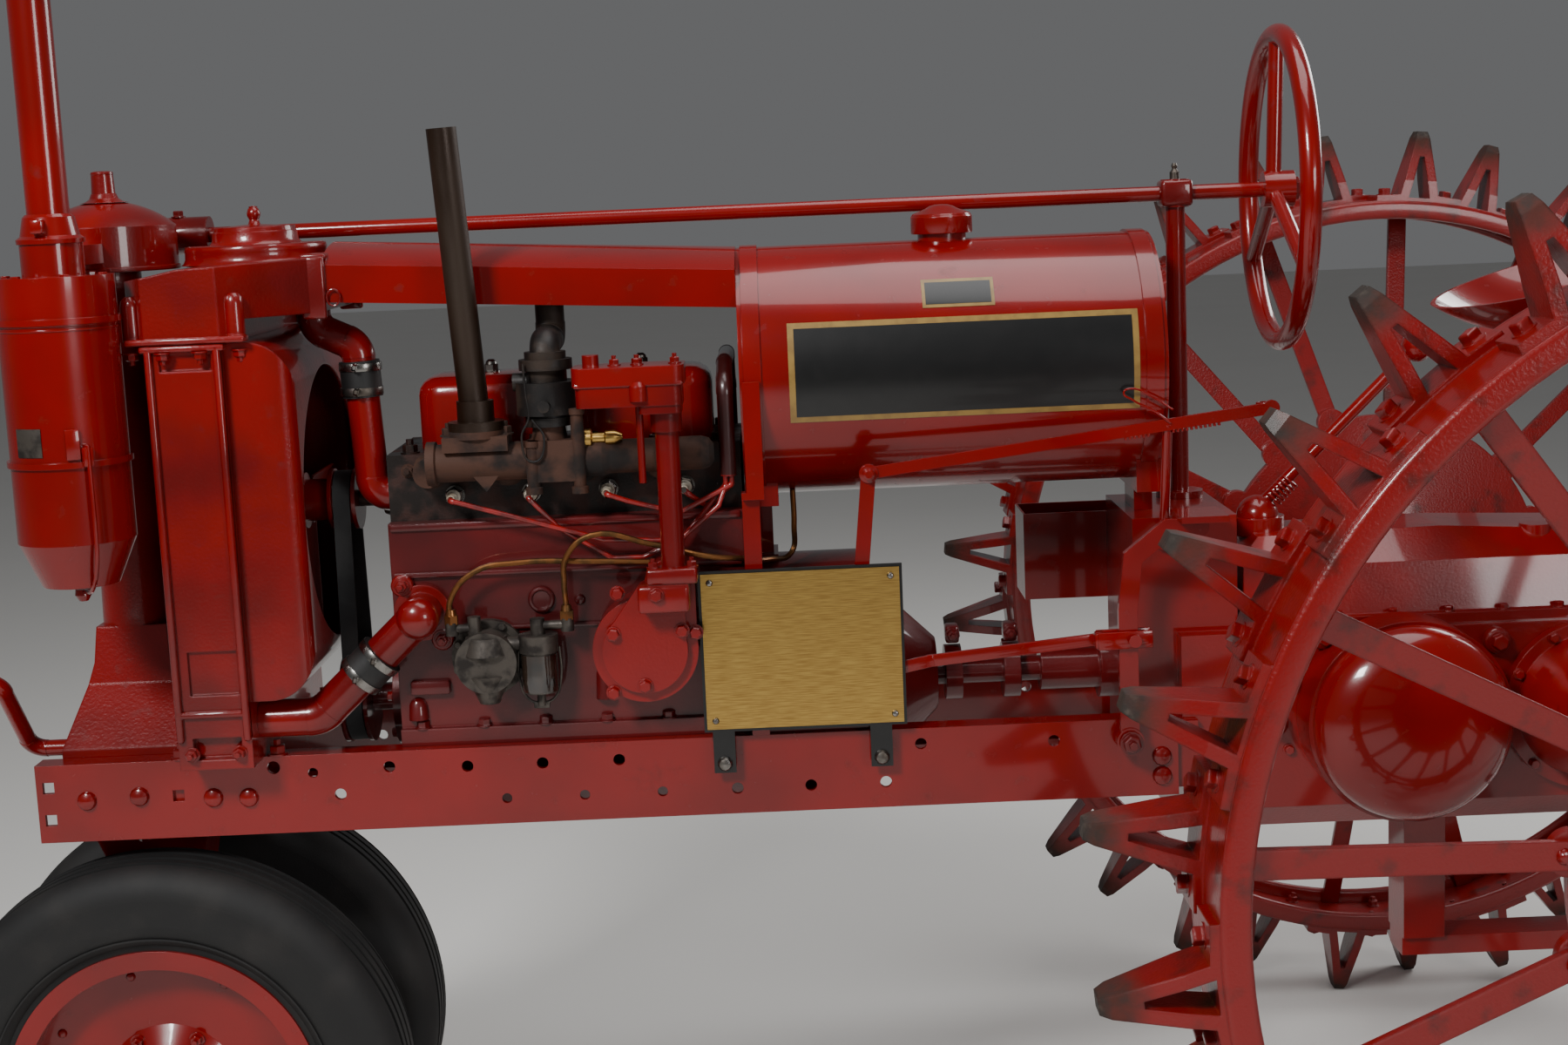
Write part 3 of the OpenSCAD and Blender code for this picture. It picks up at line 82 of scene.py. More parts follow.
class Coat:
    """A material being made: its tree, its shader and the object's coordinates."""

    def __init__(self, name: str, roughness: float, metallic: float = 0.0) -> None:
        """Starts a material with one principled shader; metallic is 1 for bare metal."""
        self.material = bpy.data.materials.new(name)
        self.material.use_nodes = True
        self.tree = self.material.node_tree
        self.tree.nodes.clear()
        self.shader = self.node("BsdfPrincipled", {"Roughness": roughness, "Metallic": metallic})
        self.node("OutputMaterial", {"Surface": self.shader.outputs["BSDF"]})
        self.place = self.node("TexCoord").outputs["Object"]

    def node(self, kind: str, inputs: dict | None = None, **settings: object) -> bpy.types.Node:
        """Adds a shader node, sets what it needs and links its inputs.

        Args:
            kind: The node's type, without the words that every shader node's type starts with.
            inputs: Input name or number to a value, or to the socket that feeds it.
            settings: The node's own properties.

        Returns:
            The new node.
        """
        node = self.tree.nodes.new("ShaderNode" + kind)
        for name, value in settings.items():
            setattr(node, name, value)
        for key, value in (inputs or {}).items():
            if isinstance(value, Socket):
                self.tree.links.new(value, node.inputs[key])
            else:
                node.inputs[key].default_value = value
        return node

    def noise(self, size_mm: float, detail: float = 2.0, stretch: Point | None = None) -> Socket:
        """Noise whose features have a size in millimetres, drawn out along an axis if wanted."""
        place = self.place
        if stretch:
            place = self.node("Mapping", {"Vector": place, "Scale": stretch}).outputs["Vector"]
        inputs = {"Vector": place, "Scale": per_metre(size_mm), "Detail": detail}
        return self.node("TexNoise", inputs).outputs["Fac"]

    def between(self, value: Socket, low: float, high: float) -> Socket:
        """A value stretched so that low gives 0 and high gives 1, and no further."""
        inputs = {"Value": value, "From Min": low, "From Max": high}
        return self.node("MapRange", inputs, interpolation_type="SMOOTHSTEP").outputs["Result"]

    def sums(self, operation: str, a: object, b: object = 0.0) -> Socket:
        """One step of arithmetic on two values."""
        return self.node("Math", {0: a, 1: b}, operation=operation).outputs[0]

    def scaled(self, value: Socket, by: float, more: float = 0.0) -> Socket:
        """A value times one number, plus another."""
        product = self.sums("MULTIPLY", value, by)
        return self.sums("ADD", product, more) if more else product

    def blend(self, share: object, a: object, b: object) -> Socket:
        """Colour a, a socket or a hex value, where the share is 0, and b where it is 1."""
        a, b = (linear(x) if isinstance(x, str) else x for x in (a, b))
        return self.node("Mix", {0: share, 6: a, 7: b}, data_type="RGBA").outputs[2]

    def bump(self, layers: Sequence[tuple[Socket, float, float]], edge_mm: float = 0.0) -> None:
        """Raises the surface by layers of height, over edges that are eased like a casting's.

        Args:
            layers: For each layer its pattern, its depth in millimetres and its strength.
            edge_mm: How far an edge is rounded for the light, none at 0.
        """
        normal = None
        if edge_mm:
            normal = self.node("Bevel", {"Radius": edge_mm * MM}, samples=4).outputs["Normal"]
        for height, depth_mm, strength in layers:
            inputs = {"Height": height, "Distance": depth_mm * MM, "Strength": strength}
            if normal:
                inputs["Normal"] = normal
            normal = self.node("Bump", inputs).outputs["Normal"]
        self.tree.links.new(normal, self.shader.inputs["Normal"])

    def feed(self, colour: Socket, roughness: Socket | None = None) -> None:
        """Feeds the shader's base colour and, if given, its roughness."""
        self.tree.links.new(colour, self.shader.inputs["Base Color"])
        if roughness:
            self.tree.links.new(roughness, self.shader.inputs["Roughness"])

    def glaze(self, weight: float, roughness: float, specular: float = 0.5) -> None:
        """Lays a clear coat over the base, and sets how strongly the base itself reflects."""
        self.shader.inputs["Coat Weight"].default_value = weight
        self.shader.inputs["Coat Roughness"].default_value = roughness
        self.shader.inputs["Specular IOR Level"].default_value = specular


@dataclass(frozen=True)
class Enamel:
    """Gloss machinery enamel over iron: the casting's lumps or the sheet's ripple show through the coat."""

    name: str
    colour: str = "#7c0403"
    shade: str = "#560202"
    dust: str = "#3c120d"
    grain_mm: float = 4.0
    grain_depth_mm: float = 0.5
    ripple_mm: float = 90.0
    gloss: float = 0.3
    edge_mm: float = 2.5

    def make(self) -> bpy.types.Material:
        """Builds the material."""
        coat = Coat(self.name, self.gloss)
        patches = coat.between(coat.noise(self.ripple_mm * 2.2, 3), 0.35, 0.7)
        settled = coat.between(coat.noise(26, 4), 0.6, 0.82)
        base = coat.blend(patches, self.colour, self.shade)
        dusty = coat.blend(coat.scaled(settled, 0.3), base, self.dust)
        coat.feed(dusty, coat.scaled(settled, 0.15, self.gloss))
        coat.glaze(0.6, 0.06, 0.25)
        grain = coat.noise(self.grain_mm, 2)
        ripple = coat.noise(self.ripple_mm, 1)
        coat.bump([(ripple, 2.0, 0.2), (grain, self.grain_depth_mm, 0.5)], self.edge_mm)
        return coat.material


@dataclass(frozen=True)
class WheelEnamel:
    """Thick stippled enamel on rolled steel that has worn brown on the lugs, where it met the ground."""

    name: str
    colour: str = "#760605"
    edge: str = "#4a100b"
    mud: str = "#43221a"
    tip: str = "#2c2521"
    steel: str = "#4d443c"
    axle_x: float = -0.766
    axle_z: float = 0.80698
    brown_r: float = 0.776
    lug_r: float = 0.832
    bare_r: float = 0.824
    tip_r: float = 0.844

    def make(self) -> bpy.types.Material:
        """Builds the material, whose wear grows with the distance from the axle."""
        coat = Coat(self.name, 0.36)
        parts = coat.node("SeparateXYZ", {"Vector": coat.place}).outputs
        across = coat.sums("SUBTRACT", parts["X"], self.axle_x)
        up = coat.sums("SUBTRACT", parts["Z"], self.axle_z)
        squares = coat.sums("ADD", coat.sums("MULTIPLY", across, across), coat.sums("MULTIPLY", up, up))
        reach = coat.sums("ADD", coat.sums("SQRT", squares), coat.scaled(coat.noise(45, 4), 0.06))
        brown = coat.between(reach, self.brown_r, self.lug_r)
        bare = coat.between(reach, self.bare_r, self.tip_r)
        base = coat.blend(coat.between(coat.noise(42, 5), 0.52, 0.76), self.colour, self.edge)
        worn = coat.blend(coat.between(coat.noise(16, 4), 0.4, 0.75), self.mud, self.tip)
        dark = coat.blend(coat.between(coat.noise(12, 3), 0.5, 0.8), self.tip, self.steel)
        coat.feed(coat.blend(bare, coat.blend(brown, base, worn), dark), coat.scaled(brown, 0.45, 0.34))
        coat.glaze(0.4, 0.12, 0.3)
        coat.tree.links.new(coat.scaled(brown, -0.36, 0.4), coat.shader.inputs["Coat Weight"])
        coat.bump([(coat.noise(28, 2), 1.5, 0.25), (coat.noise(3.8, 2), 0.7, 0.8)], 4.5)
        return coat.material


@dataclass(frozen=True)
class WireCover:
    """Lacquered cotton over rubber on the plug wires, bright red, and the dark tube that gathers them."""

    name: str = "lacquered_wire_cover"
    colour: str = "#8e0d0a"
    worn: str = "#560908"
    tube: str = "#300605"
    tube_z: float = 1.178

    def make(self) -> bpy.types.Material:
        """Builds the material, which turns to the tube's colour above the tube's foot."""
        coat = Coat(self.name, 0.38)
        height = coat.node("SeparateXYZ", {"Vector": coat.place}).outputs["Z"]
        wire = coat.blend(coat.between(coat.noise(22, 3), 0.4, 0.7), self.colour, self.worn)
        coat.feed(coat.blend(coat.between(height, self.tube_z, self.tube_z + 0.002), wire, self.tube))
        coat.glaze(0.5, 0.12)
        coat.bump([(coat.noise(2.2, 2), 0.15, 0.5)])
        return coat.material


@dataclass(frozen=True)
class BareIron:
    """Unpainted iron or steel: rusted, oily or worn bright, with the stains that heat and damp leave."""

    name: str
    colour: str
    stain: str
    metallic: float = 0.6
    roughness: float = 0.6
    grain_mm: float = 3.0
    grain_depth_mm: float = 0.6
    stain_mm: float = 30.0
    stretch: Point = (1.0, 1.0, 1.0)

    def make(self) -> bpy.types.Material:
        """Builds the material."""
        coat = Coat(self.name, self.roughness, self.metallic)
        stains = coat.between(coat.noise(self.stain_mm, 5, self.stretch), 0.42, 0.66)
        coat.feed(coat.blend(stains, self.colour, self.stain), coat.scaled(stains, 0.2, self.roughness - 0.1))
        coat.bump([(coat.noise(self.grain_mm, 3), self.grain_depth_mm, 0.6)])
        return coat.material


@dataclass(frozen=True)
class Rubber:
    """Vulcanised rubber, matt, with grey dust in its pores."""

    name: str
    colour: str = "#0a0909"
    dust: str = "#1e1b19"
    roughness: float = 0.72
    pore_mm: float = 2.0

    def make(self) -> bpy.types.Material:
        """Builds the material."""
        coat = Coat(self.name, self.roughness)
        dust = coat.between(coat.noise(70, 4), 0.4, 0.75)
        coat.feed(coat.blend(coat.scaled(dust, 0.7), self.colour, self.dust))
        coat.bump([(coat.noise(self.pore_mm, 2), 0.3, 0.5)])
        return coat.material


@dataclass(frozen=True)
class BrushedSheet:
    """Sheet metal brushed along one way: long fine scratches and a soft stretched shine."""

    name: str
    colour: str
    shade: str
    roughness: float = 0.3
    stroke: Point = (0.04, 1.0, 1.0)

    def make(self) -> bpy.types.Material:
        """Builds the material, with scratches drawn about 1 mm apart so that they show."""
        coat = Coat(self.name, self.roughness, 1.0)
        strokes = coat.noise(1.2, 2, self.stroke)
        colour = coat.blend(coat.between(strokes, 0.35, 0.65), self.colour, self.shade)
        coat.feed(colour, coat.scaled(strokes, 0.2, self.roughness - 0.08))
        coat.bump([(strokes, 0.05, 0.5)])
        return coat.material


@dataclass(frozen=True)
class PlainGloss:
    """Smooth glossy stuff such as glazed porcelain, glass or black sign enamel, with faint mottling."""

    name: str
    colour: str
    shade: str
    roughness: float = 0.25
    coat_weight: float = 0.4

    def make(self) -> bpy.types.Material:
        """Builds the material."""
        coat = Coat(self.name, self.roughness)
        coat.feed(coat.blend(coat.between(coat.noise(20, 3), 0.35, 0.7), self.colour, self.shade))
        coat.glaze(self.coat_weight, 0.1)
        coat.bump([(coat.noise(14, 1), 0.3, 0.15)])
        return coat.material


@dataclass(frozen=True)
class FinCore:
    """The radiator's core: thin black fins stacked on upright tubes, with painted shade in the gaps between
    them.
    """

    name: str = "painted_fin_core"
    colour: str = "#1b1a19"
    # Painted shade: near-black standing in for the shade deep in the gaps between fins and tubes.
    gap_shade: str = "#050505"
    fin_mm: float = 4.0
    tube_mm: float = 14.0

    def make(self) -> bpy.types.Material:
        """Builds the material, with fins a little wider apart than the real 3 mm so that they show, and
        painted shade in the gaps.
        """
        coat = Coat(self.name, 0.6, 0.2)
        fins, tubes = (
            coat.node(
                "TexWave", {"Vector": coat.place, "Scale": per_metre(size) / WAVE_LENGTH, "Distortion": 0.0},
                bands_direction=way,
            ).outputs["Fac"]
            for size, way in ((self.fin_mm, "Z"), (self.tube_mm, "Y"))
        )
        both = coat.sums("MULTIPLY", coat.between(fins, 0.2, 0.8), coat.between(tubes, 0.1, 0.5))
        # Painted shade where neither fin nor tube is, the fins' own black elsewhere.
        coat.feed(coat.blend(both, self.gap_shade, self.colour))
        coat.bump([(both, 2.0, 0.8)])
        return coat.material


class Slot(Enum):
    """The record's material slots, each kept with a finish; nothing here reads them."""

    RED = "red_paint"
    RIM = "rim_paint"
    BLACK = "black_paint"
    RUST = "rusty_iron"
    GREY = "grey_metal"
    STEEL = "bright_steel"
    COPPER = "copper_tube"
    BRASS = "brass_sheet"
    PORCELAIN = "porcelain"
    TYRE = "tyre_rubber"


class Look(NamedTuple):
    """A material, and the record's slot that is kept with it."""

    material: bpy.types.Material
    slot: Slot | None


def look(slot: Slot | None, recipe: object) -> Look:
    """Makes a finish's material once."""
    return Look(recipe.make(), slot)


class Finishes:
    """Every finish on the tractor, made once, and the CAD nodes that wear them."""

    def __init__(self) -> None:
        """Builds the materials."""
        self.cast_red = look(Slot.RED, Enamel("enamel_on_cast_iron"))
        self.rough_red = look(
            Slot.RED, Enamel("enamel_on_coarse_casting", grain_mm=4.6, grain_depth_mm=0.8, edge_mm=4.0)
        )
        self.sheet_red = look(Slot.RED, Enamel(
            "enamel_on_sheet_steel", shade="#6a0302", grain_mm=2.2, grain_depth_mm=0.07, gloss=0.24,
            edge_mm=1.2,
        ))
        self.dull_red = look(Slot.RED, Enamel(
            "aged_enamel_on_engine_casting", colour="#5c0608", shade="#380405", dust="#2c0e0c",
            grain_mm=5.0, grain_depth_mm=0.7, gloss=0.42, edge_mm=3.5,
        ))
        self.wheel_red = look(Slot.RIM, WheelEnamel("worn_enamel_on_rolled_steel"))
        self.rust = look(Slot.RUST, BareIron(
            "rusted_cast_iron", "#3c1d0a", "#140d0a", metallic=0.0, roughness=0.85, grain_mm=4.0, stain_mm=45
        ))
        self.burnt = look(None, BareIron(
            "heat_browned_pipe", "#24160c", "#2f2218", metallic=0.5, roughness=0.45,
            grain_mm=2.5, grain_depth_mm=0.3, stain_mm=70, stretch=(1, 1, 0.25),
        ))
        self.oily = look(Slot.RUST, BareIron(
            "oily_dark_iron", "#1d1613", "#38201a", metallic=0.4, roughness=0.5
        ))
        self.zinc = look(Slot.GREY, BareIron(
            "dull_cast_zinc", "#4f4943", "#282320", roughness=0.5, stain_mm=22, grain_depth_mm=0.3
        ))
        self.sooty = look(Slot.BLACK, BareIron(
            "sooty_cast_iron", "#1b1817", "#30241b", metallic=0.4, roughness=0.55, stain_mm=35,
            grain_depth_mm=0.4,
        ))
        self.steel = look(Slot.STEEL, BareIron(
            "worn_bright_steel", "#8d8a86", "#5a534c", metallic=1.0, roughness=0.35, grain_depth_mm=0.1
        ))
        self.copper = look(Slot.COPPER, BareIron(
            "drawn_copper_tube", "#8a5a34", "#4f3a22", metallic=0.9, roughness=0.4, grain_depth_mm=0.1
        ))
        self.brass = look(Slot.BRASS, BrushedSheet("brushed_brass_sheet", "#c6a35c", "#a9854a"))
        self.tyre = look(Slot.TYRE, Rubber("tyre_rubber"))
        self.hose = look(None, Rubber("hose_rubber", dust="#2a2725", roughness=0.55))
        self.belt = look(None, Rubber("belt_rubber", colour="#2a2a2b", dust="#4a4a4a"))
        self.black = look(Slot.BLACK, PlainGloss("black_sign_enamel", "#060606", "#0c0b0b", 0.34, 0.15))
        self.gold = look(Slot.BRASS, PlainGloss("gold_paint_line", "#8d6f33", "#7a5d2a", 0.4, 0.2))
        self.glass = look(Slot.BLACK, PlainGloss("stained_bowl_glass", "#2b2019", "#171310", 0.08, 1.0))
        self.glaze = look(Slot.PORCELAIN, PlainGloss("glazed_porcelain", "#d8d0bf", "#a79a85", 0.2))
        self.cover = look(None, WireCover())
        self.core = look(None, FinCore())

    def dress_nodes(self) -> None:
        """Gives every CAD node its finish."""
        table = (
            (self.sheet_red, "frame_rails steering_post steering_wheel air_cleaner valve_cover clutch_pedal"),
            (self.sheet_red, "control_rod hood fuel_tank tank_supports tool_tray seat gearshift_lever"),
            (self.sheet_red, "hand_crank front_rim_left front_rim_right"),
            (self.rough_red, "front_column radiator_casting radiator_top_tank fan_shroud front_axle"),
            (self.cast_red, "steering_gear_case water_pipes fan governor_drive transmission_case"),
            (self.cast_red, "transmission_cover axle_housings brake_covers drawbar"),
            (self.dull_red, "engine_block bell_housing clutch_shaft"),
            (self.wheel_red, "rear_rim_left rear_rim_right rear_spokes_left rear_spokes_right"),
            (self.tyre, "front_tyre_left front_tyre_right"),
            (self.core, "radiator_core"), (self.hose, "water_hoses"), (self.belt, "fan_belt"),
            (self.oily, "cylinder_head"), (self.rust, "manifold"), (self.burnt, "exhaust_pipe"),
            (self.zinc, "fuel_pump"), (self.sooty, "carburettor"), (self.copper, "fuel_lines"),
            (self.cover, "plug_wires"), (self.glaze, "spark_plugs"), (self.brass, "name_plate"),
            (self.black, "plate_bracket"),
        )
        for worn, names in table:
            for name in names.split():
                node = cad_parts[name]
                if not node.material_slots:
                    node.data.materials.append(worn.material)
                for held in node.material_slots:
                    held.material = worn.material


# Modelling by hand


def deselect() -> None:
    """Leaves nothing selected in object mode."""
    bpy.ops.object.select_all(action="DESELECT")


def hold(piece: Piece) -> None:
    """Selects one piece alone and makes it active."""
    deselect()
    bpy.context.view_layer.objects.active = piece
    piece.select_set(True)


def shape(piece: Piece) -> None:
    """Opens a piece in edit mode with nothing selected."""
    hold(piece)
    bpy.ops.object.mode_set(mode="EDIT")
    bpy.ops.mesh.select_all(action="DESELECT")


def pick(kind: str, test: Callable[[object], bool]) -> None:
    """Selects the open mesh's faces (kind FACE) or edges (kind EDGE) that pass a test, and no others."""
    bpy.ops.mesh.select_mode(type=kind)
    mesh = bpy.context.object.data
    form = bmesh.from_edit_mesh(mesh)
    for part in form.faces if kind == "FACE" else form.edges:
        part.select_set(test(part))
    bmesh.update_edit_mesh(mesh)


def close_shape() -> Piece:
    """Turns the faces outward, leaves edit mode and puts the piece's place in its mesh."""
    bpy.ops.mesh.select_all(action="SELECT")
    bpy.ops.mesh.remove_doubles(threshold=1e-6)
    bpy.ops.mesh.normals_make_consistent(inside=False)
    bpy.ops.object.mode_set(mode="OBJECT")
    bpy.ops.object.transform_apply(location=True, rotation=True, scale=True)
    return bpy.context.object


def apply_modifier(piece: Piece, kind: str, **settings: object) -> None:
    """Adds a modifier to a piece and applies it."""
    modifier = piece.modifiers.new(kind.title(), kind)
    for name, value in settings.items():
        setattr(modifier, name, value)
    hold(piece)
    bpy.ops.object.modifier_apply(modifier=modifier.name)


def turned(profile: Profile, sides: int = 24) -> Piece:
    """A turned piece about +Z, grown ring by ring from a disc and closed at both ends.

    Args:
        profile: Radius and height of each ring, from the bottom up.
        sides: Corners of each ring.
    """
    radius, height = profile[0]
    deselect()
    bpy.ops.mesh.primitive_circle_add(
        vertices=sides, radius=radius, fill_type="NGON", location=(0, 0, height)
    )
    bpy.ops.object.mode_set(mode="EDIT")
    bpy.ops.mesh.select_all(action="SELECT")
    for wide, high in profile[1:]:
        bpy.ops.mesh.extrude_region_move(TRANSFORM_OT_translate={"value": (0, 0, high - height)})
        bpy.ops.transform.resize(value=(wide / radius, wide / radius, 1))
        radius, height = wide, high
    return close_shape()


def ring(radius: float, width: float, thickness: float, sides: int = 48, ease: float = 0.25) -> Piece:
    """A flat hoop about +Z, centred on the origin, with eased edges.

    Args:
        radius: To the hoop's inner face.
        width: Along the axis.
        thickness: Of the strip.
        sides: Corners round the hoop.
        ease: How far its edges are rounded, as a share of its thinner side.
    """
    deselect()
    bpy.ops.mesh.primitive_cylinder_add(vertices=sides, radius=radius, depth=width, end_fill_type="NOTHING")
    piece = bpy.context.object
    apply_modifier(piece, "SOLIDIFY", thickness=thickness, offset=1.0)
    apply_modifier(piece, "BEVEL", width=min(thickness, width) * ease, segments=4 if ease > 0.25 else 2)
    return piece


def block(size: Point) -> None:
    """Starts a block of a size on the origin, open in edit mode and selected."""
    deselect()
    bpy.ops.mesh.primitive_cube_add(size=1)
    shape(bpy.context.object)
    bpy.ops.mesh.select_all(action="SELECT")
    bpy.ops.transform.resize(value=size)


def box(size: Point, round_by: float, steps: int = 2) -> Piece:
    """A block centred on the origin with all its edges rounded."""
    block(size)
    bpy.ops.mesh.bevel(offset=round_by, segments=steps)
    return close_shape()


def can(size: Point, corner: float, crown: float) -> Piece:
    """A pressed cover that stands on the origin, with round corners in plan and a soft top edge.

    Args:
        size: Its length, width and height.
        corner: Radius of its four upright corners.
        crown: Radius of the edge round its top.
    """
    half = size[2] / 2
    block(size)
    pick("EDGE", lambda edge: abs(edge.verts[0].co.z - edge.verts[1].co.z) > half)
    bpy.ops.mesh.bevel(offset=corner, segments=6)
    pick("EDGE", lambda edge: min(v.co.z for v in edge.verts) > half - 1e-5)
    bpy.ops.mesh.bevel(offset=crown, segments=4)
    bpy.ops.mesh.select_all(action="SELECT")
    bpy.ops.transform.translate(value=(0, 0, half))
    return close_shape()


def link(start: Sequence[float], end: Sequence[float], width: float, thickness: float) -> Piece:
    """A flat bar on edge between two points, a little longer at both ends.

    Args:
        start: One end of its middle line.
        end: The other end.
        width: Across the bar, upright.
        thickness: Through it, along Y.
    """
    a, b = Vector(start), Vector(end)
    way = b - a
    piece = box((way.length + width * 0.6, thickness, width), min(thickness, width) * 0.2)
    return move(piece, Matrix.Translation((a + b) / 2) @ way.to_track_quat("X", "Z").to_matrix().to_4x4())


def rod(points: Sequence[Point], radius: float, turns: int = 6) -> Piece:
    """A round rod or wire, smoothly curved through points, as a mesh.

    Args:
        points: What it passes through.
        radius: Of the rod.
        turns: Steps between two points.
    """
    line = bpy.data.curves.new("line", "CURVE")
    line.dimensions = "3D"
    line.resolution_u = turns
    line.bevel_depth = radius
    line.bevel_resolution = 3
    line.use_fill_caps = True
    spline = line.splines.new("BEZIER")
    spline.bezier_points.add(len(points) - 1)
    for knot, place in zip(spline.bezier_points, points):
        knot.co = place
        knot.handle_left_type = knot.handle_right_type = "AUTO"
    piece = bpy.data.objects.new("rod", line)
    bpy.context.scene.collection.objects.link(piece)
    hold(piece)
    bpy.ops.object.convert(target="MESH")
    return bpy.context.object


def move(piece: Piece, to: Matrix) -> Piece:
    """Puts a place into a piece's mesh."""
    piece.data.transform(to)
    return piece


def at(x: float, y: float, z: float) -> Matrix:
    """A place, with nothing turned."""
    return Matrix.Translation((x, y, z))


def spot(place: Sequence[float], towards: Sequence[float] = UP, spin: float = 0.0) -> Matrix:
    """A place where what was drawn about +Z points towards a direction.

    Args:
        place: Where its origin goes.
        towards: Where its +Z goes.
        spin: Turn about its own axis, in degrees.
    """
    turn = Vector(towards).to_track_quat("Z", "Y").to_matrix().to_4x4()
    return Matrix.Translation(Vector(place)) @ turn @ Matrix.Rotation(math.radians(spin), 4, "Z")


def on_both(x: float, y: float, z: float) -> list[Matrix]:
    """One place on each side of the tractor, with nothing turned."""
    return [at(x, side * y, z) for side in SIDES]


def outward(y: float, rows: Sequence[tuple[float, float]], spin: float = 0.0) -> list[Matrix]:
    """Places on both flanks, pointing away from the tractor.

    Args:
        y: Distance from the tractor's middle.
        rows: Length and height of each place.
        spin: How much further each is turned than the one before, in degrees.
    """
    return [
        spot((x, side * y, z), (0, side, 0), spin * i) for side in SIDES for i, (x, z) in enumerate(rows)
    ]


def upward(y: float, z: float, xs: Sequence[float], spin: float) -> list[Matrix]:
    """Places in a row on both sides, pointing up, each turned by spin degrees more than the one before."""
    return [spot((x, side * y, z), UP, spin * i) for side in SIDES for i, x in enumerate(xs)]


def circle_of(
    middle: Sequence[float], radius: float, count: int, towards: Sequence[float], start: float = 0.0
) -> list[Matrix]:
    """Places evenly round a circle.

    Args:
        middle: The circle's centre.
        radius: To the places.
        count: How many.
        towards: The circle's axis, which the places point along.
        start: The first one's angle in degrees.
    """
    base = spot(middle, towards)
    turns = [math.radians(start + i * 360 / count) for i in range(count)]
    points = [base @ Vector((radius * math.cos(turn), radius * math.sin(turn), 0)) for turn in turns]
    return [spot(point, towards, CIRCLE_SPIN * i) for i, point in enumerate(points)]


def join(pieces: Iterable[Piece]) -> Piece:
    """Makes several pieces one."""
    pieces = list(pieces)
    deselect()
    for piece in pieces:
        piece.select_set(True)
    bpy.context.view_layer.objects.active = pieces[0]
    if len(pieces) > 1:
        bpy.ops.object.join()
    return bpy.context.object


def copies(model: Piece, places: Iterable[Matrix]) -> Piece:
    """Copies of a model at places, each with its own mesh, joined; the model itself goes."""
    made = []
    for to in places:
        twin = bpy.data.objects.new(model.name, model.data.copy())
        bpy.context.scene.collection.objects.link(twin)
        made.append(move(twin, to))
    bpy.data.objects.remove(model)
    return join(made)


def stacked(x: float, y: float, rows: Sequence[tuple[float, int, Profile]]) -> list[Piece]:
    """Turned pieces on one upright axis: for each its foot's height, its corners and its profile."""
    return [move(turned(profile, sides), at(x, y, z)) for z, sides, profile in rows]


def fit(piece: Piece, name: str, worn: Look, body: str = "chassis") -> Piece:
    """Names a finished piece, dresses it and lets it ride.

    Args:
        piece: The piece, in place.
        name: Its name.
        worn: Its finish.
        body: The body it moves with.

    Returns:
        The piece.
    """
    piece.name = name
    piece.data.name = name
    piece.data.materials.clear()
    piece.data.materials.append(worn.material)
    hold(piece)
    bpy.ops.object.shade_smooth_by_angle(angle=math.radians(SMOOTH_BELOW))
    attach(piece, body)
    LOG.info("%s on %s, %d faces", name, body, len(piece.data.polygons))
    return piece


class Fastener(Enum):
    """Kinds of fastener."""

    HEX = "hex"
    SQUARE = "square"
    RIVET = "rivet"
    STUD = "stud"


def fastener(kind: Fastener, size: float) -> Piece:
    """One fastener of a few dozen faces on the origin, its head along +Z and size half the head's width."""
    if kind is Fastener.RIVET:
        shares = ((1, -0.1), (0.96, 0.2), (0.7, 0.55), (0.25, 0.72))
        return turned([(size * wide, size * high) for wide, high in shares], 10)
    deselect()
    bpy.ops.mesh.primitive_cylinder_add(
        vertices=4 if kind is Fastener.SQUARE else 6, radius=size, depth=size * 0.9,
        location=(0, 0, size * 0.6),
    )
    shape(bpy.context.object)
    pick("FACE", lambda face: face.normal.z > 0.9)
    bpy.ops.mesh.inset(thickness=size * 0.14)
    bpy.ops.transform.translate(value=(0, 0, size * 0.12))
    if kind is Fastener.STUD:
        bpy.ops.mesh.inset(thickness=size * 0.3)
        bpy.ops.mesh.extrude_region_move(TRANSFORM_OT_translate={"value": (0, 0, size * 0.7)})
    bpy.ops.mesh.primitive_cylinder_add(
        vertices=12, radius=size * 1.28, depth=size * 0.25, location=(0, 0, size * 0.06)
    )
    return close_shape()


def nuts_of(kind: Fastener, size: float, places: Iterable[Matrix]) -> Piece:
    """Copies of one fastener at places, as one piece."""
    return copies(fastener(kind, size), places)


# Sub-assemblies


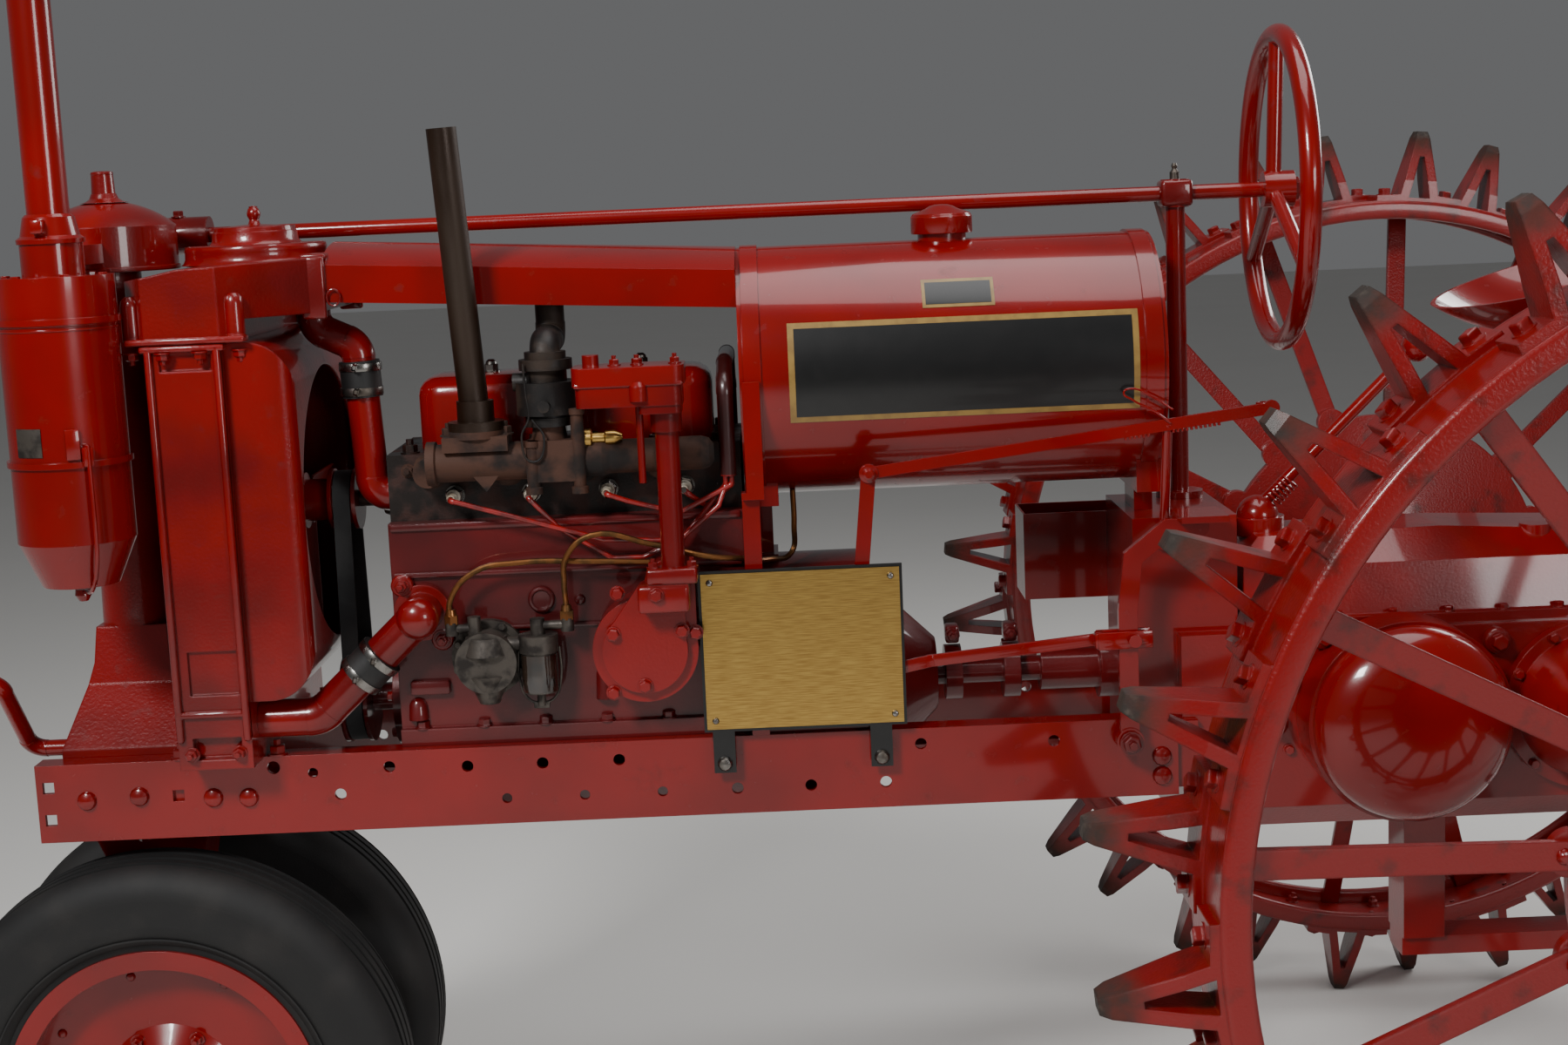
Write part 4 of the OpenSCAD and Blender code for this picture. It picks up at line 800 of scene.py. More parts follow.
@dataclass
class Studio:
    """Pale floor, soft lights and the camera at the photograph's angle."""

    camera_at: Point = (0.337, 3.1, 1.56)
    pitch: float = 8.7
    roll: float = 2.49
    lens_mm: float = 50.0
    sensor_mm: float = 36.0
    aim: Point = (0.2, 0, 0.9)
    floor_size: float = 60.0
    floor_drop: float = 0.0005

    def build(self) -> None:
        """Makes floor, world, lights and camera."""
        self.floor()
        self.lights()
        self.camera()

    def floor(self) -> None:
        """A plain pale floor at the wheels' feet."""
        deselect()
        bpy.ops.mesh.primitive_plane_add(size=self.floor_size, location=(0, 0, -self.floor_drop))
        floor = bpy.context.object
        floor.name = "studio_floor"
        coat = Coat("studio_paper", 0.9)
        coat.feed(coat.blend(coat.noise(900, 2), "#dddbd7", "#d8d6d2"))
        floor.data.materials.append(coat.material)

    def lights(self) -> None:
        """A soft key from the camera's side, a fill, a top light, one from behind and an even sky."""
        world = bpy.data.worlds.new("studio")
        bpy.context.scene.world = world
        world.use_nodes = True
        back = world.node_tree.nodes["Background"]
        back.inputs["Color"].default_value = linear("#d5d6d8")
        back.inputs["Strength"].default_value = 0.2
        for name, place, size, power in (
            ("key", (2.4, 3.6, 4.0), 0.9, 230),
            ("fill", (-2.8, 4.6, 2.0), 1.4, 70),
            ("top", (-0.4, 0.4, 4.8), 2.8, 95),
            ("rear", (-3.2, -2.6, 2.8), 2.0, 90),
        ):
            lamp = bpy.data.lights.new(name, "AREA")
            lamp.size = size
            lamp.energy = power
            holder = bpy.data.objects.new(name, lamp)
            bpy.context.scene.collection.objects.link(holder)
            holder.location = place
            holder.rotation_euler = (Vector(self.aim) - Vector(place)).to_track_quat("-Z", "Y").to_euler()

    def camera(self) -> None:
        """Stands the camera where the photograph was taken from."""
        pitch, roll = math.radians(self.pitch), math.radians(self.roll)
        ahead = Vector((0, -math.cos(pitch), -math.sin(pitch)))
        side = Vector(BACK)
        head = side.cross(ahead)
        right = side * math.cos(roll) - head * math.sin(roll)
        over = head * math.cos(roll) + side * math.sin(roll)
        lens = bpy.data.cameras.new("photo_camera")
        lens.lens = self.lens_mm
        lens.sensor_width = self.sensor_mm
        camera = bpy.data.objects.new("photo_camera", lens)
        turn = Matrix((right, over, -ahead)).transposed().to_4x4()
        camera.matrix_world = Matrix.Translation(self.camera_at) @ turn
        bpy.context.scene.collection.objects.link(camera)
        bpy.context.scene.camera = camera


@dataclass
class Dress:
    """What every sub-assembly has: the finishes, and a short way to fit fasteners."""

    finish: Finishes

    def bolts(self, name: str, kind: Fastener, size: float, places: Iterable[Matrix], worn: Look) -> None:
        """Fits copies of one fastener as a piece of the chassis."""
        fit(nuts_of(kind, size, places), name, worn)


@dataclass
class FrameDress(Dress):
    """Bolts through the rails, and the trim of the steering gear case."""

    rail_y: float = 0.170
    rail_top: float = 0.816
    king_x: float = 1.272
    gear_r: float = 0.095
    column_top: float = 1.486
    crown_z: float = 1.548

    def build(self) -> None:
        """Makes the pieces."""
        self.rail_bolts()
        self.gear_case()

    def rail_bolts(self) -> None:
        """Round heads along both rails, where castings are bolted inside them, and studs on top."""
        rows = [
            (1.318, 0.764), (1.245, 0.767), (1.143, 0.761), (1.094, 0.759), (-0.172, 0.762), (-0.172, 0.734),
        ]
        head = turned(
            [(0.0135, -0.001), (0.0135, 0.002), (0.0115, 0.006), (0.007, 0.0085), (0.002, 0.0095)], 14
        )
        fit(copies(head, outward(self.rail_y, rows, 23)), "rail_bolts", self.finish.cast_red)
        tops = [spot((x, side * 0.158, self.rail_top), UP, 11) for side in SIDES for x in (1.052, 1.186)]
        self.bolts("rail_top_bolts", Fastener.STUD, 0.0115, tops, self.finish.cast_red)

    def gear_case(self) -> None:
        """The bead round the case's lower edge, the fillet and lip of its stub and two plugs."""
        low, wide = self.gear_r - 0.004, self.gear_r + 0.002
        made = stacked(self.king_x, 0, (
            (self.column_top, 64, [(low, 0), (wide, 0.001), (wide, 0.006), (low, 0.009)]),
            (self.crown_z + 0.0335, 28, [(0.034, 0), (0.026, 0.002), (0.020, 0.006), (0.0172, 0.013)]),
            (self.crown_z + 0.0722, 24, [(0.0150, 0), (0.0156, 0.001), (0.0152, 0.004), (0.011, 0.0055)]),
        ))
        plugs = [spot((x, -0.112, 1.557), UP, 20) for x in (1.20, 1.34)]
        made.append(nuts_of(Fastener.HEX, 0.008, plugs))
        fit(join(made), "gear_case_trim", self.finish.cast_red)


@dataclass
class RadiatorDress(Dress):
    """Ribs and bolts on the side castings, the top tank's flange and lid, the elbow and the hose clamps."""

    half: float = 0.230
    front_x: float = 1.168
    back_x: float = 1.068
    core_z: float = 0.905
    core_top: float = 1.391
    filler_x: float = 1.064
    cap_z: float = 1.513
    elbow_r: float = 0.028
    elbow_y: float = 0.196

    def build(self) -> None:
        """Makes the pieces."""
        self.ribs()
        self.flange_bolts()
        self.neck()
        self.cap()
        self.elbow()
        self.clamps()

    def ribs(self) -> None:
        """Two upright ribs on each side casting, with a rail across their feet."""
        high = self.core_top - self.core_z + 0.05
        xs = (self.back_x + 0.005, self.front_x - 0.005)
        places = [at(x, side * self.half, self.core_top - high / 2) for side in SIDES for x in xs]
        uprights = copies(box((0.010, 0.016, high), 0.004, 3), places)
        rails = copies(box((0.100, 0.014, 0.010), 0.004, 3), on_both(1.118, self.half, 0.893))
        fit(join([uprights, rails]), "radiator_ribs", self.finish.rough_red)

    def flange_bolts(self) -> None:
        """The flanges where tank and castings meet, their bosses and bolts, and the bolts of the feet."""
        top = self.core_top
        upper = copies(box((0.158, 0.030, 0.0085), 0.003, 3), on_both(1.113, self.half - 0.007, top + 0.0055))
        lower = copies(box((0.112, 0.022, 0.0085), 0.003, 3), on_both(1.118, self.half - 0.003, top - 0.0045))
        boss = turned([(0.013, 0), (0.013, 0.046), (0.0115, 0.054), (0.007, 0.059), (0.002, 0.060)], 20)
        ends = ((1.050, 0.2125), (1.187, 0.2105))
        bosses = copies(boss, [at(x, side * y, top + 0.006) for side in SIDES for x, y in ends])
        fit(join([upper, lower, bosses]), "top_tank_flange", self.finish.rough_red)
        under = ((1.046, 0.216), (1.189, 0.214), (1.094, 0.236), (1.143, 0.236))
        places = [
            spot((x, side * y, top - 0.009), DOWN, 19 * i) for side in SIDES for i, (x, y) in enumerate(under)
        ]
        places += outward(self.half, ((1.086, 0.838), (1.150, 0.838)), 19)
        self.bolts("radiator_bolts", Fastener.STUD, 0.0085, places, self.finish.cast_red)

    def neck(self) -> None:
        """The band where the hood meets the top tank, and the small wire ring on each side of it."""
        x, half = 0.961, 0.129
        sides = copies(box((0.034, 0.010, 0.085), 0.004, 3), on_both(x, half + 0.002, 1.455))
        over = move(box((0.034, 2 * half - 0.010, 0.008), 0.003, 3), at(x, 0, 1.4965))
        fit(join([sides, over]), "hood_band", self.finish.cast_red)
        turns = [math.radians(d) for d in range(0, 361, 40)]
        loop = [(0.934 + 0.009 * math.cos(a), 1.441 + 0.011 * math.sin(a)) for a in turns]
        rings = [rod([(x, side * (half + 0.004), z) for x, z in loop], 0.0014, 4) for side in SIDES]
        fit(join(rings), "hood_rings", self.finish.cast_red)

    def cap(self) -> None:
        """The filler's rolled neck, its domed lid and the knob on it."""
        made = stacked(self.filler_x, 0, (
            (0, 96, [(0.1040, 1.4895), (0.1005, 1.4925), (0.0982, 1.4975), (0.0978, 1.506), (0.0985, 1.5095),
                     (0.0970, 1.5135), (0.0930, 1.5155)]),
            (self.cap_z, 48, [(0.0625, 0), (0.0635, 0.003), (0.0600, 0.0075), (0.0585, 0.020),
                              (0.050, 0.0245), (0.030, 0.0285), (0.012, 0.030)]),
            (self.cap_z + 0.0275, 18, [(0.012, 0), (0.0085, 0.003), (0.0065, 0.009), (0.0090, 0.014),
                                       (0.0095, 0.018), (0.0075, 0.024), (0.003, 0.028)]),
        ))
        fit(join(made), "filler_lid", self.finish.cast_red)

    def elbow(self) -> None:
        """The rounded back of the lower elbow and the two bolted ears of its flange."""
        x, z, r = 0.840, 1.005, self.elbow_r
        profile = [
            (r + 0.0006, -0.012), (r + 0.0006, 0), (r * 0.92, 0.008), (r * 0.7, 0.0145), (r * 0.4, 0.0185),
            (r * 0.1, 0.020),
        ]
        back = move(turned(profile, 40), spot((x, self.elbow_y, z), LEFT))
        ends = [(x + side * 0.0255, z + side * 0.0385) for side in SIDES]
        ear = turned([(0.0155, 0), (0.0155, 0.011), (0.0135, 0.013)], 24)
        ears = copies(ear, [spot((a, 0.140, b), LEFT) for a, b in ends])
        nuts = nuts_of(Fastener.STUD, 0.0085, [spot((a, 0.153, b), LEFT, 25) for a, b in ends])
        fit(join([back, ears, nuts]), "elbow_flange", self.finish.cast_red)

    def clamps(self) -> None:
        """Worm clamps on the hoses: a hoop and its screw."""
        rows = [(Vector((0.918, 0.060, z)), Vector(UP), 0.0285) for z in (1.307, 1.341)]
        start, end = Vector((0.985, 0.170, 0.870)), Vector((0.840, 0.170, 1.005))
        along = (end - start).normalized()
        rows += [(start.lerp(end, t), along, 0.0316) for t in (0.41, 0.59)]
        made = []
        for middle, axis, radius in rows:
            made.append(move(ring(radius, 0.011, 0.0012), spot(middle, axis)))
            screw = spot(middle + Vector((0, radius + 0.004, 0)), (0.6, 0.2, 0.2))
            made.append(move(fastener(Fastener.HEX, 0.005), screw))
        fit(join(made), "hose_clamps", self.finish.steel)


@dataclass
class AirCleanerDress(Dress):
    """The air cleaner's wire bail and hooks, its lid's screws, the stack's foot and the small bare plate."""

    x: float = 1.272
    y: float = 0.245
    can_r: float = 0.076
    foot_z: float = 1.083
    hook_z: float = 1.244
    neck_z: float = 1.531
    lid_z: float = 1.484

    def build(self) -> None:
        """Makes the pieces."""
        self.bail()
        self.plate()
        self.collar()
        self.lid()

    def round_axis(self, degrees: float) -> Matrix:
        """A turn about the can's own axis."""
        here = at(self.x, self.y, 0)
        return here @ Matrix.Rotation(math.radians(degrees), 4, "Z") @ here.inverted()

    def bail(self) -> None:
        """A wire loop that holds the oil cup: down one side, under the cup and up the other."""
        out = self.can_r + 0.009
        half = [
            (out, self.hook_z + 0.030), (out, self.foot_z + 0.07), (out - 0.006, self.foot_z + 0.035),
            (0.045, self.foot_z - 0.004), (0.018, self.foot_z - 0.010),
        ]
        path = [(self.x, self.y + a, z) for a, z in half] + [(self.x, self.y - a, z) for a, z in half[::-1]]
        wire = rod(path, 0.003)
        places = [at(self.x, self.y + side * (out - 0.004), self.hook_z + 0.014) for side in SIDES]
        hooks = copies(box((0.014, 0.012, 0.026), 0.003), places)
        nut = turned([(0.010, 0), (0.011, 0.008), (0.006, 0.016)], 12)
        move(nut, spot((self.x, self.y, self.foot_z - 0.008), DOWN))
        fit(move(join([wire, hooks, nut]), self.round_axis(33)), "cup_bail", self.finish.sheet_red)

    def plate(self) -> None:
        """A bare tin plate bent round the can."""
        sheet = ring(self.can_r + 0.0005, 0.037, 0.0008, 96)
        shape(sheet)
        for angle, inner in ((52.5, True), (81.7, False)):
            turn = math.radians(angle)
            across = (-math.sin(turn), math.cos(turn), 0)
            bpy.ops.mesh.select_all(action="SELECT")
            bpy.ops.mesh.bisect(
                plane_co=(0, 0, 0), plane_no=across, use_fill=True, clear_inner=inner, clear_outer=not inner
            )
        close_shape()
        fit(move(sheet, at(self.x, self.y, 1.2785)), "bare_tin_plate", self.finish.zinc)

    def collar(self) -> None:
        """The clamped collar at the stack's foot."""
        collar = turned([(0.043, 0), (0.0435, 0.006), (0.038, 0.010), (0.033, 0.034), (0.029, 0.038)], 32)
        move(collar, at(self.x, self.y, self.neck_z))
        ear = move(box((0.016, 0.020, 0.018), 0.003), at(self.x + 0.002, self.y + 0.040, self.neck_z + 0.022))
        fit(join([collar, ear]), "stack_collar", self.finish.sheet_red)

    def lid(self) -> None:
        """The lid's screws, the two beads under it and the folded ear beside the plate."""
        heads = nuts_of(Fastener.HEX, 0.0065, circle_of((self.x, self.y, self.lid_z), 0.0635, 6, UP, 60))
        bead = ring(self.can_r - 0.0002, 0.0026, 0.0016, 96)
        beads = copies(bead, [at(self.x, self.y, z) for z in (1.4215, 1.4275)])
        ear = move(box((0.018, 0.005, 0.040), 0.0015), at(self.x, self.y + self.can_r + 0.0015, 1.275))
        fit(join([heads, beads, move(ear, self.round_axis(21))]), "lid_screws", self.finish.sheet_red)


@dataclass
class EngineDress(Dress):
    """Covers, nuts, plugs, bosses, tubes and fittings on the engine."""

    back_x: float = 0.393
    front_x: float = 0.881
    block_y: float = 0.140
    head_y: float = 0.115
    head_top: float = 1.220
    cover_h: float = 0.101
    plug_x: float = 0.789
    plug_pitch: float = 0.106
    plug_z: float = 1.162
    pump_y: float = 0.175

    def build(self) -> None:
        """Makes the pieces."""
        self.head_nuts()
        self.valve_covers()
        self.plugs()
        self.block_bosses()
        self.block_ledges()
        self.cover_screws()
        self.governor()
        self.fuel_lines()
        self.manifold()
        self.pump()

    def head_nuts(self) -> None:
        """Two rows of head nuts."""
        step = (self.front_x - self.back_x - 0.06) / 5
        xs = [self.back_x + 0.03 + i * step for i in range(6)]
        places = upward(self.head_y - 0.022, self.head_top, xs, 31)
        self.bolts("head_nuts", Fastener.STUD, 0.0105, places, self.finish.oily)

    def valve_covers(self) -> None:
        """Two pressed covers over the rockers, soft at the top and round at the corners, each with a nut."""
        middles = (0.5305, 0.7435)
        cover = can((0.199, 0.140, self.cover_h), 0.036, 0.026)
        pair = copies(cover, [at(x, 0, self.head_top) for x in middles])
        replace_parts(fit(pair, "valve_covers", self.finish.sheet_red), "valve_cover")
        tip = turned([(0.0085, 0.010), (0.0075, 0.015), (0.004, 0.018)], 12)
        nut = join([fastener(Fastener.HEX, 0.010), tip])
        tops = [spot((x, 0, self.head_top + self.cover_h), UP, 20) for x in middles]
        fit(copies(nut, tops), "cover_nuts", self.finish.steel)

    def plugs(self) -> None:
        """Spark plugs: a hex steel body, a glazed insulator with a shoulder and a terminal nut."""
        body = join([
            turned([(0.0135, 0), (0.0135, 0.004)], 16),
            turned([(0.0125, 0.004), (0.0128, 0.006), (0.0128, 0.016), (0.0105, 0.018)], 6),
            turned([(0.004, 0.046), (0.0042, 0.050), (0.0035, 0.058)], 10),
        ])
        insulator = turned(
            [(0.0095, 0.016), (0.0098, 0.022), (0.0072, 0.026), (0.0068, 0.034), (0.0078, 0.036),
             (0.0066, 0.040), (0.0052, 0.047)], 20,
        )
        xs = [self.plug_x - i * self.plug_pitch for i in range(4)]
        places = [spot((x, self.head_y, self.plug_z), LEFT, 25 * i) for i, x in enumerate(xs)]
        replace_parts(fit(copies(body, places), "plug_bodies", self.finish.steel), "spark_plugs")
        fit(copies(insulator, places), "plug_insulators", self.finish.glaze)

    def block_bosses(self) -> None:
        """Core plugs and cast bosses along both sides of the block, and the pan's bolts."""
        boss = turned(
            [(0.0185, 0), (0.0185, 0.004), (0.0165, 0.006), (0.0135, 0.0065), (0.012, 0.004),
             (0.004, 0.0035)], 28,
        )
        places = [spot((0.676, self.block_y, 1.015), LEFT)]
        places += [spot((x, -self.block_y, 1.0), (0, -1, 0)) for x in (0.46, 0.60, 0.74, 0.84)]
        rail = upward(self.block_y + 0.002, 0.840, [self.back_x + 0.03 + i * 0.0856 for i in range(6)], 29)
        screw = move(fastener(Fastener.RIVET, 0.008), spot((0.623, self.block_y, 1.012), LEFT))
        made = [copies(boss, places), nuts_of(Fastener.HEX, 0.009, rail), screw]
        fit(join(made), "block_plugs", self.finish.dull_red)

    def block_ledges(self) -> None:
        """The lip under the head, the ledge above the lower panel and the webs cast on the side."""
        back, front, y = self.back_x + 0.006, self.front_x - 0.006, self.block_y + 0.001
        made = [
            link((back, side * y, z), (front, side * y, z), wide, thick)
            for side in SIDES
            for z, wide, thick in ((1.1225, 0.010, 0.007), (1.056, 0.007, 0.012), (0.978, 0.006, 0.008))
        ]
        made.append(link((0.815, 0.142, 0.898), (0.858, 0.142, 0.898), 0.020, 0.018))
        for x, z, high in ((0.594, 0.872, 0.050), (0.856, 0.853, 0.030)):
            post = [(0.014, 0), (0.0125, high * 0.7), (0.009, high * 0.9), (0.003, high)]
            made += stacked(x, 0.142, [(z, 16, post)])
        fit(join(made), "block_ledges", self.finish.dull_red)

    def cover_screws(self) -> None:
        """Screws round the crankshaft's front cover."""
        places = circle_of((self.front_x + 0.024, 0, 0.856), 0.060, 6, FORWARD, 12)
        self.bolts("front_cover_screws", Fastener.HEX, 0.007, places, self.finish.cast_red)

    def governor(self) -> None:
        """The drive cover's bolts and the governor's lid, with its rim, studs and flanged column foot."""
        rows = [
            (0.511, 0.2535, 1.034), (0.481, 0.214, 0.977), (0.574, 0.214, 0.976), (0.534, 0.214, 0.903),
            (0.566, 0.204, 1.030), (0.463, 0.204, 0.972), (0.578, 0.204, 0.893),
        ]
        bolts = [spot(row, LEFT, 40 * i) for i, row in enumerate(rows)]
        studs = [spot((x, 0.228, 1.340), UP, 30 * i) for i, x in enumerate((0.472, 0.522, 0.552))]
        studs += [spot((x, 0.240, 1.0685)) for x in (0.462, 0.514)]
        rim = move(box((0.142, 0.078, 0.006), 0.002), at(0.533, 0.228, 1.3165))
        foot = move(box((0.068, 0.0560, 0.021), 0.004, 3), at(0.489, 0.2275, 1.058))
        seat = move(box((0.069, 0.0500, 0.037), 0.005, 3), at(0.5015, 0.2285, 1.0275))
        boss = stacked(0.520, 0.262, [(1.294, 16, [(0.012, 0), (0.012, 0.020), (0.008, 0.026)])])
        heads = nuts_of(Fastener.HEX, 0.0085, bolts)
        nuts = nuts_of(Fastener.STUD, 0.0070, studs)
        fit(join([heads, nuts, rim, foot, seat, *boss]), "governor_fasteners", self.finish.cast_red)

    def fuel_lines(self) -> None:
        """The fuel lines in smooth bends, their nuts at the pump, and port nuts on the manifold."""
        y = self.pump_y
        runs = (
            [(0.797, y, 0.992), (0.797, y, 1.024), (0.763, y, 1.062), (0.701, y, 1.073), (0.610, y, 1.071),
             (0.522, y, 1.066)],
            [(0.639, y, 0.992), (0.639, 0.177, 1.014), (0.639, 0.186, 1.045), (0.634, 0.187, 1.080),
             (0.599, 0.187, 1.108), (0.520, 0.187, 1.093), (0.440, 0.186, 1.072), (0.400, 0.164, 1.064),
             (0.358, 0.092, 1.049), (0.328, 0.061, 1.052), (0.323, 0.060, 1.090), (0.323, 0.060, 1.141)],
        )
        tubes = join([rod(run, 0.004) for run in runs])
        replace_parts(fit(tubes, "fuel_line_tubes", self.finish.copper), "fuel_lines")
        nut = join([turned([(0.010, 0), (0.010, 0.012)], 6), turned([(0.008, 0.012), (0.0065, 0.020)], 12)])
        fit(copies(nut, [spot(run[0]) for run in runs]), "fuel_line_nuts", self.finish.copper)
        xs = [(i, self.plug_x + 0.030 - i * self.plug_pitch + dx) for i in range(4) for dx in (-0.033, 0.033)]
        ports = [spot((x, self.head_y, 1.198), LEFT, 10 * i) for i, x in xs]
        self.bolts("manifold_nuts", Fastener.STUD, 0.008, ports, self.finish.rust)

    def manifold(self) -> None:
        """The manifold's long clamp bolts and pad nuts, its brass fitting and the choke wire."""
        pads = [spot((x, 0.165, 1.249), UP, 25) for x in (0.709, 0.785)]
        made = [nuts_of(Fastener.STUD, 0.0095, pads)]
        for x, low, high in ((0.671, 1.168, 0.072), (0.609, 1.167, 0.115)):
            bolt = [
                (0.0115, 0), (0.0115, 0.009), (0.0085, 0.010), (0.0095, high * 0.5), (0.0085, high - 0.009),
                (0.0110, high - 0.008), (0.0110, high),
            ]
            made += stacked(x, 0.189, [(low, 12, bolt)])
        fit(join(made), "clamp_bolts", self.finish.rust)
        fitting = turned(
            [(0.013, 0), (0.013, 0.008), (0.0075, 0.010), (0.0075, 0.026), (0.0100, 0.028), (0.0100, 0.040),
             (0.0050, 0.050)], 12,
        )
        fit(move(fitting, spot((0.600, 0.176, 1.239), BACK)), "primer_fitting", self.finish.brass)
        wire = rod(
            [(0.676, 0.197, 1.345), (0.674, 0.199, 1.30), (0.672, 0.199, 1.272), (0.683, 0.199, 1.246),
             (0.669, 0.200, 1.213), (0.653, 0.199, 1.244), (0.668, 0.199, 1.270)], 0.0016,
        )
        fit(wire, "choke_wire", self.finish.sooty)

    def pump(self) -> None:
        """The sediment bowl's glass, the wire bail under it and the screws round the pump's diaphragm."""
        x, y = 0.680, self.pump_y
        glass = stacked(x, y, [(0, 32, [(0.0235, 0.893), (0.0250, 0.897), (0.0252, 0.920), (0.0250, 0.946)])])
        fit(join(glass), "bowl_glass", self.finish.glass)
        half = [(0.028, 0.955), (0.0285, 0.912), (0.017, 0.882)]
        loop = half + [(0, 0.877)] + [(-dx, z) for dx, z in half[::-1]]
        bail = rod([(x + dx, y, z) for dx, z in loop], 0.0018)
        screws = nuts_of(Fastener.HEX, 0.0052, circle_of((0.751, 0.154, 0.939), 0.0468, 8, LEFT, 20))
        wing = move(box((0.022, 0.005, 0.010), 0.002), at(x, y, 0.874))
        fit(join([bail, screws, wing]), "pump_fasteners", self.finish.zinc)


@dataclass
class TankDress(Dress):
    """The tank's filler cap and the two bare black panels on each side."""

    tank_r: float = 0.175
    tank_z: float = 1.306
    cap_x: float = 0.097

    def build(self) -> None:
        """Makes the pieces."""
        self.cap()
        self.panel("name_panel", (-0.151, 0.322), (1.247, 1.3805), 0.0085)
        self.panel("number_panel", (0.0395, 0.1375), (1.393, 1.4295), 0.0045)

    def cap(self) -> None:
        """A skirt pulled down over the neck and a low cone with a rounded top."""
        lid = [
            (0.0425, 0.008), (0.0434, 0.010), (0.0434, 0.031), (0.0405, 0.0355), (0.0230, 0.0425),
            (0.0165, 0.0462), (0.0090, 0.0480), (0.0020, 0.0483),
        ]
        made = stacked(self.cap_x, 0, [(self.tank_z + self.tank_r, 48, lid)])
        fit(join(made), "tank_cap", self.finish.sheet_red)

    def patch(self, xs: Sequence[float], zs: Sequence[float], lift: float, side: int) -> Piece:
        """A thin sheet that hugs one side of the tank.

        Args:
            xs: Its rear and front ends.
            zs: Its lower and upper edges.
            lift: How far it stands off the tank.
            side: 1 for the left, -1 for the right.
        """
        deselect()
        bpy.ops.mesh.primitive_cylinder_add(
            vertices=256, radius=self.tank_r, depth=xs[1] - xs[0], end_fill_type="NOTHING",
            location=(sum(xs) / 2, 0, self.tank_z), rotation=(0, math.pi / 2, 0),
        )
        bpy.ops.object.transform_apply(location=True, rotation=True)
        piece = bpy.context.object
        shape(piece)
        cuts = (((0, 0, zs[0]), UP), ((0, 0, zs[1]), DOWN), ((0, 0.02 * side, 0), (0, side, 0)))
        for place, normal in cuts:
            bpy.ops.mesh.select_all(action="SELECT")
            bpy.ops.mesh.bisect(plane_co=place, plane_no=normal, clear_inner=True)
        bpy.ops.object.mode_set(mode="OBJECT")
        apply_modifier(piece, "SOLIDIFY", thickness=lift, offset=1.0)
        return piece

    def panel(self, name: str, xs: Sequence[float], zs: Sequence[float], line: float) -> None:
        """A black panel within a gold line of a width, on both sides."""
        fit(join([self.patch(xs, zs, 0.0009, side) for side in SIDES]), name + "_line", self.finish.gold)
        xs = (xs[0] + line, xs[1] - line)
        zs = (zs[0] + line * 0.9, zs[1] - line * 0.9)
        fit(join([self.patch(xs, zs, 0.0013, side) for side in SIDES]), name, self.finish.black)


@dataclass
class TransmissionDress(Dress):
    """Bolts on the gear case, its cover and the axle flanges, the brake domes and the seat's bolt."""

    case_y: float = 0.150
    flange_z: float = 0.925
    axle_x: float = -0.766
    axle_z: float = 0.807
    brake_x: float = -0.504

    def build(self) -> None:
        """Makes the pieces."""
        xs = [-0.965 + i * 0.077 for i in range(9)]
        places = upward(0.134, self.flange_z + 0.016, xs, 27)
        self.bolts("cover_bolts", Fastener.HEX, 0.0065, places, self.finish.cast_red)
        self.side_bolts()
        self.brakes()
        seat = [spot((-0.823, 0, 1.3205), (0.242, 0, 0.970))]
        self.bolts("seat_bolt", Fastener.STUD, 0.013, seat, self.finish.cast_red)

    def side_bolts(self) -> None:
        """Bolts on the case's sides and round the axle flanges."""
        rows = ((1, -0.345, 0.900), (2, -0.353, 0.758), (4, -0.905, 0.700), (5, -0.950, 0.880))
        places = []
        for side in SIDES:
            out = (0, side, 0)
            places += [spot((x, side * self.case_y, z), out, 33 * i) for i, x, z in rows]
            places += circle_of((self.axle_x, side * (self.case_y + 0.018), self.axle_z), 0.1105, 10, out, 10)
        self.bolts("case_bolts", Fastener.HEX, 0.0068, places, self.finish.cast_red)

    def brakes(self) -> None:
        """Smooth domes over the brake drums and the bolted ears that hold them to the case."""
        dome = turned(
            [(0.1345, 0.064), (0.1350, 0.072), (0.1335, 0.084), (0.1280, 0.096), (0.1160, 0.108),
             (0.0950, 0.119), (0.0680, 0.127), (0.0380, 0.1315), (0.0150, 0.1328), (0.0030, 0.133)], 72,
        )
        domes = copies(dome, outward(self.case_y, [(self.brake_x, self.axle_z)]))
        fit(domes, "brake_domes", self.finish.sheet_red)
        head = move(fastener(Fastener.HEX, 0.0115), at(0, 0, 0.014))
        ear = join([turned([(0.018, -0.002), (0.018, 0.012), (0.0165, 0.014)], 24), head])
        offsets = ((0.104, 0.112), (0.162, 0.063), (0.172, -0.009), (-0.136, 0.095))
        rows = [(self.brake_x + a, self.axle_z + b) for a, b in offsets]
        fit(copies(ear, outward(self.case_y, rows, 37)), "brake_ears", self.finish.cast_red)


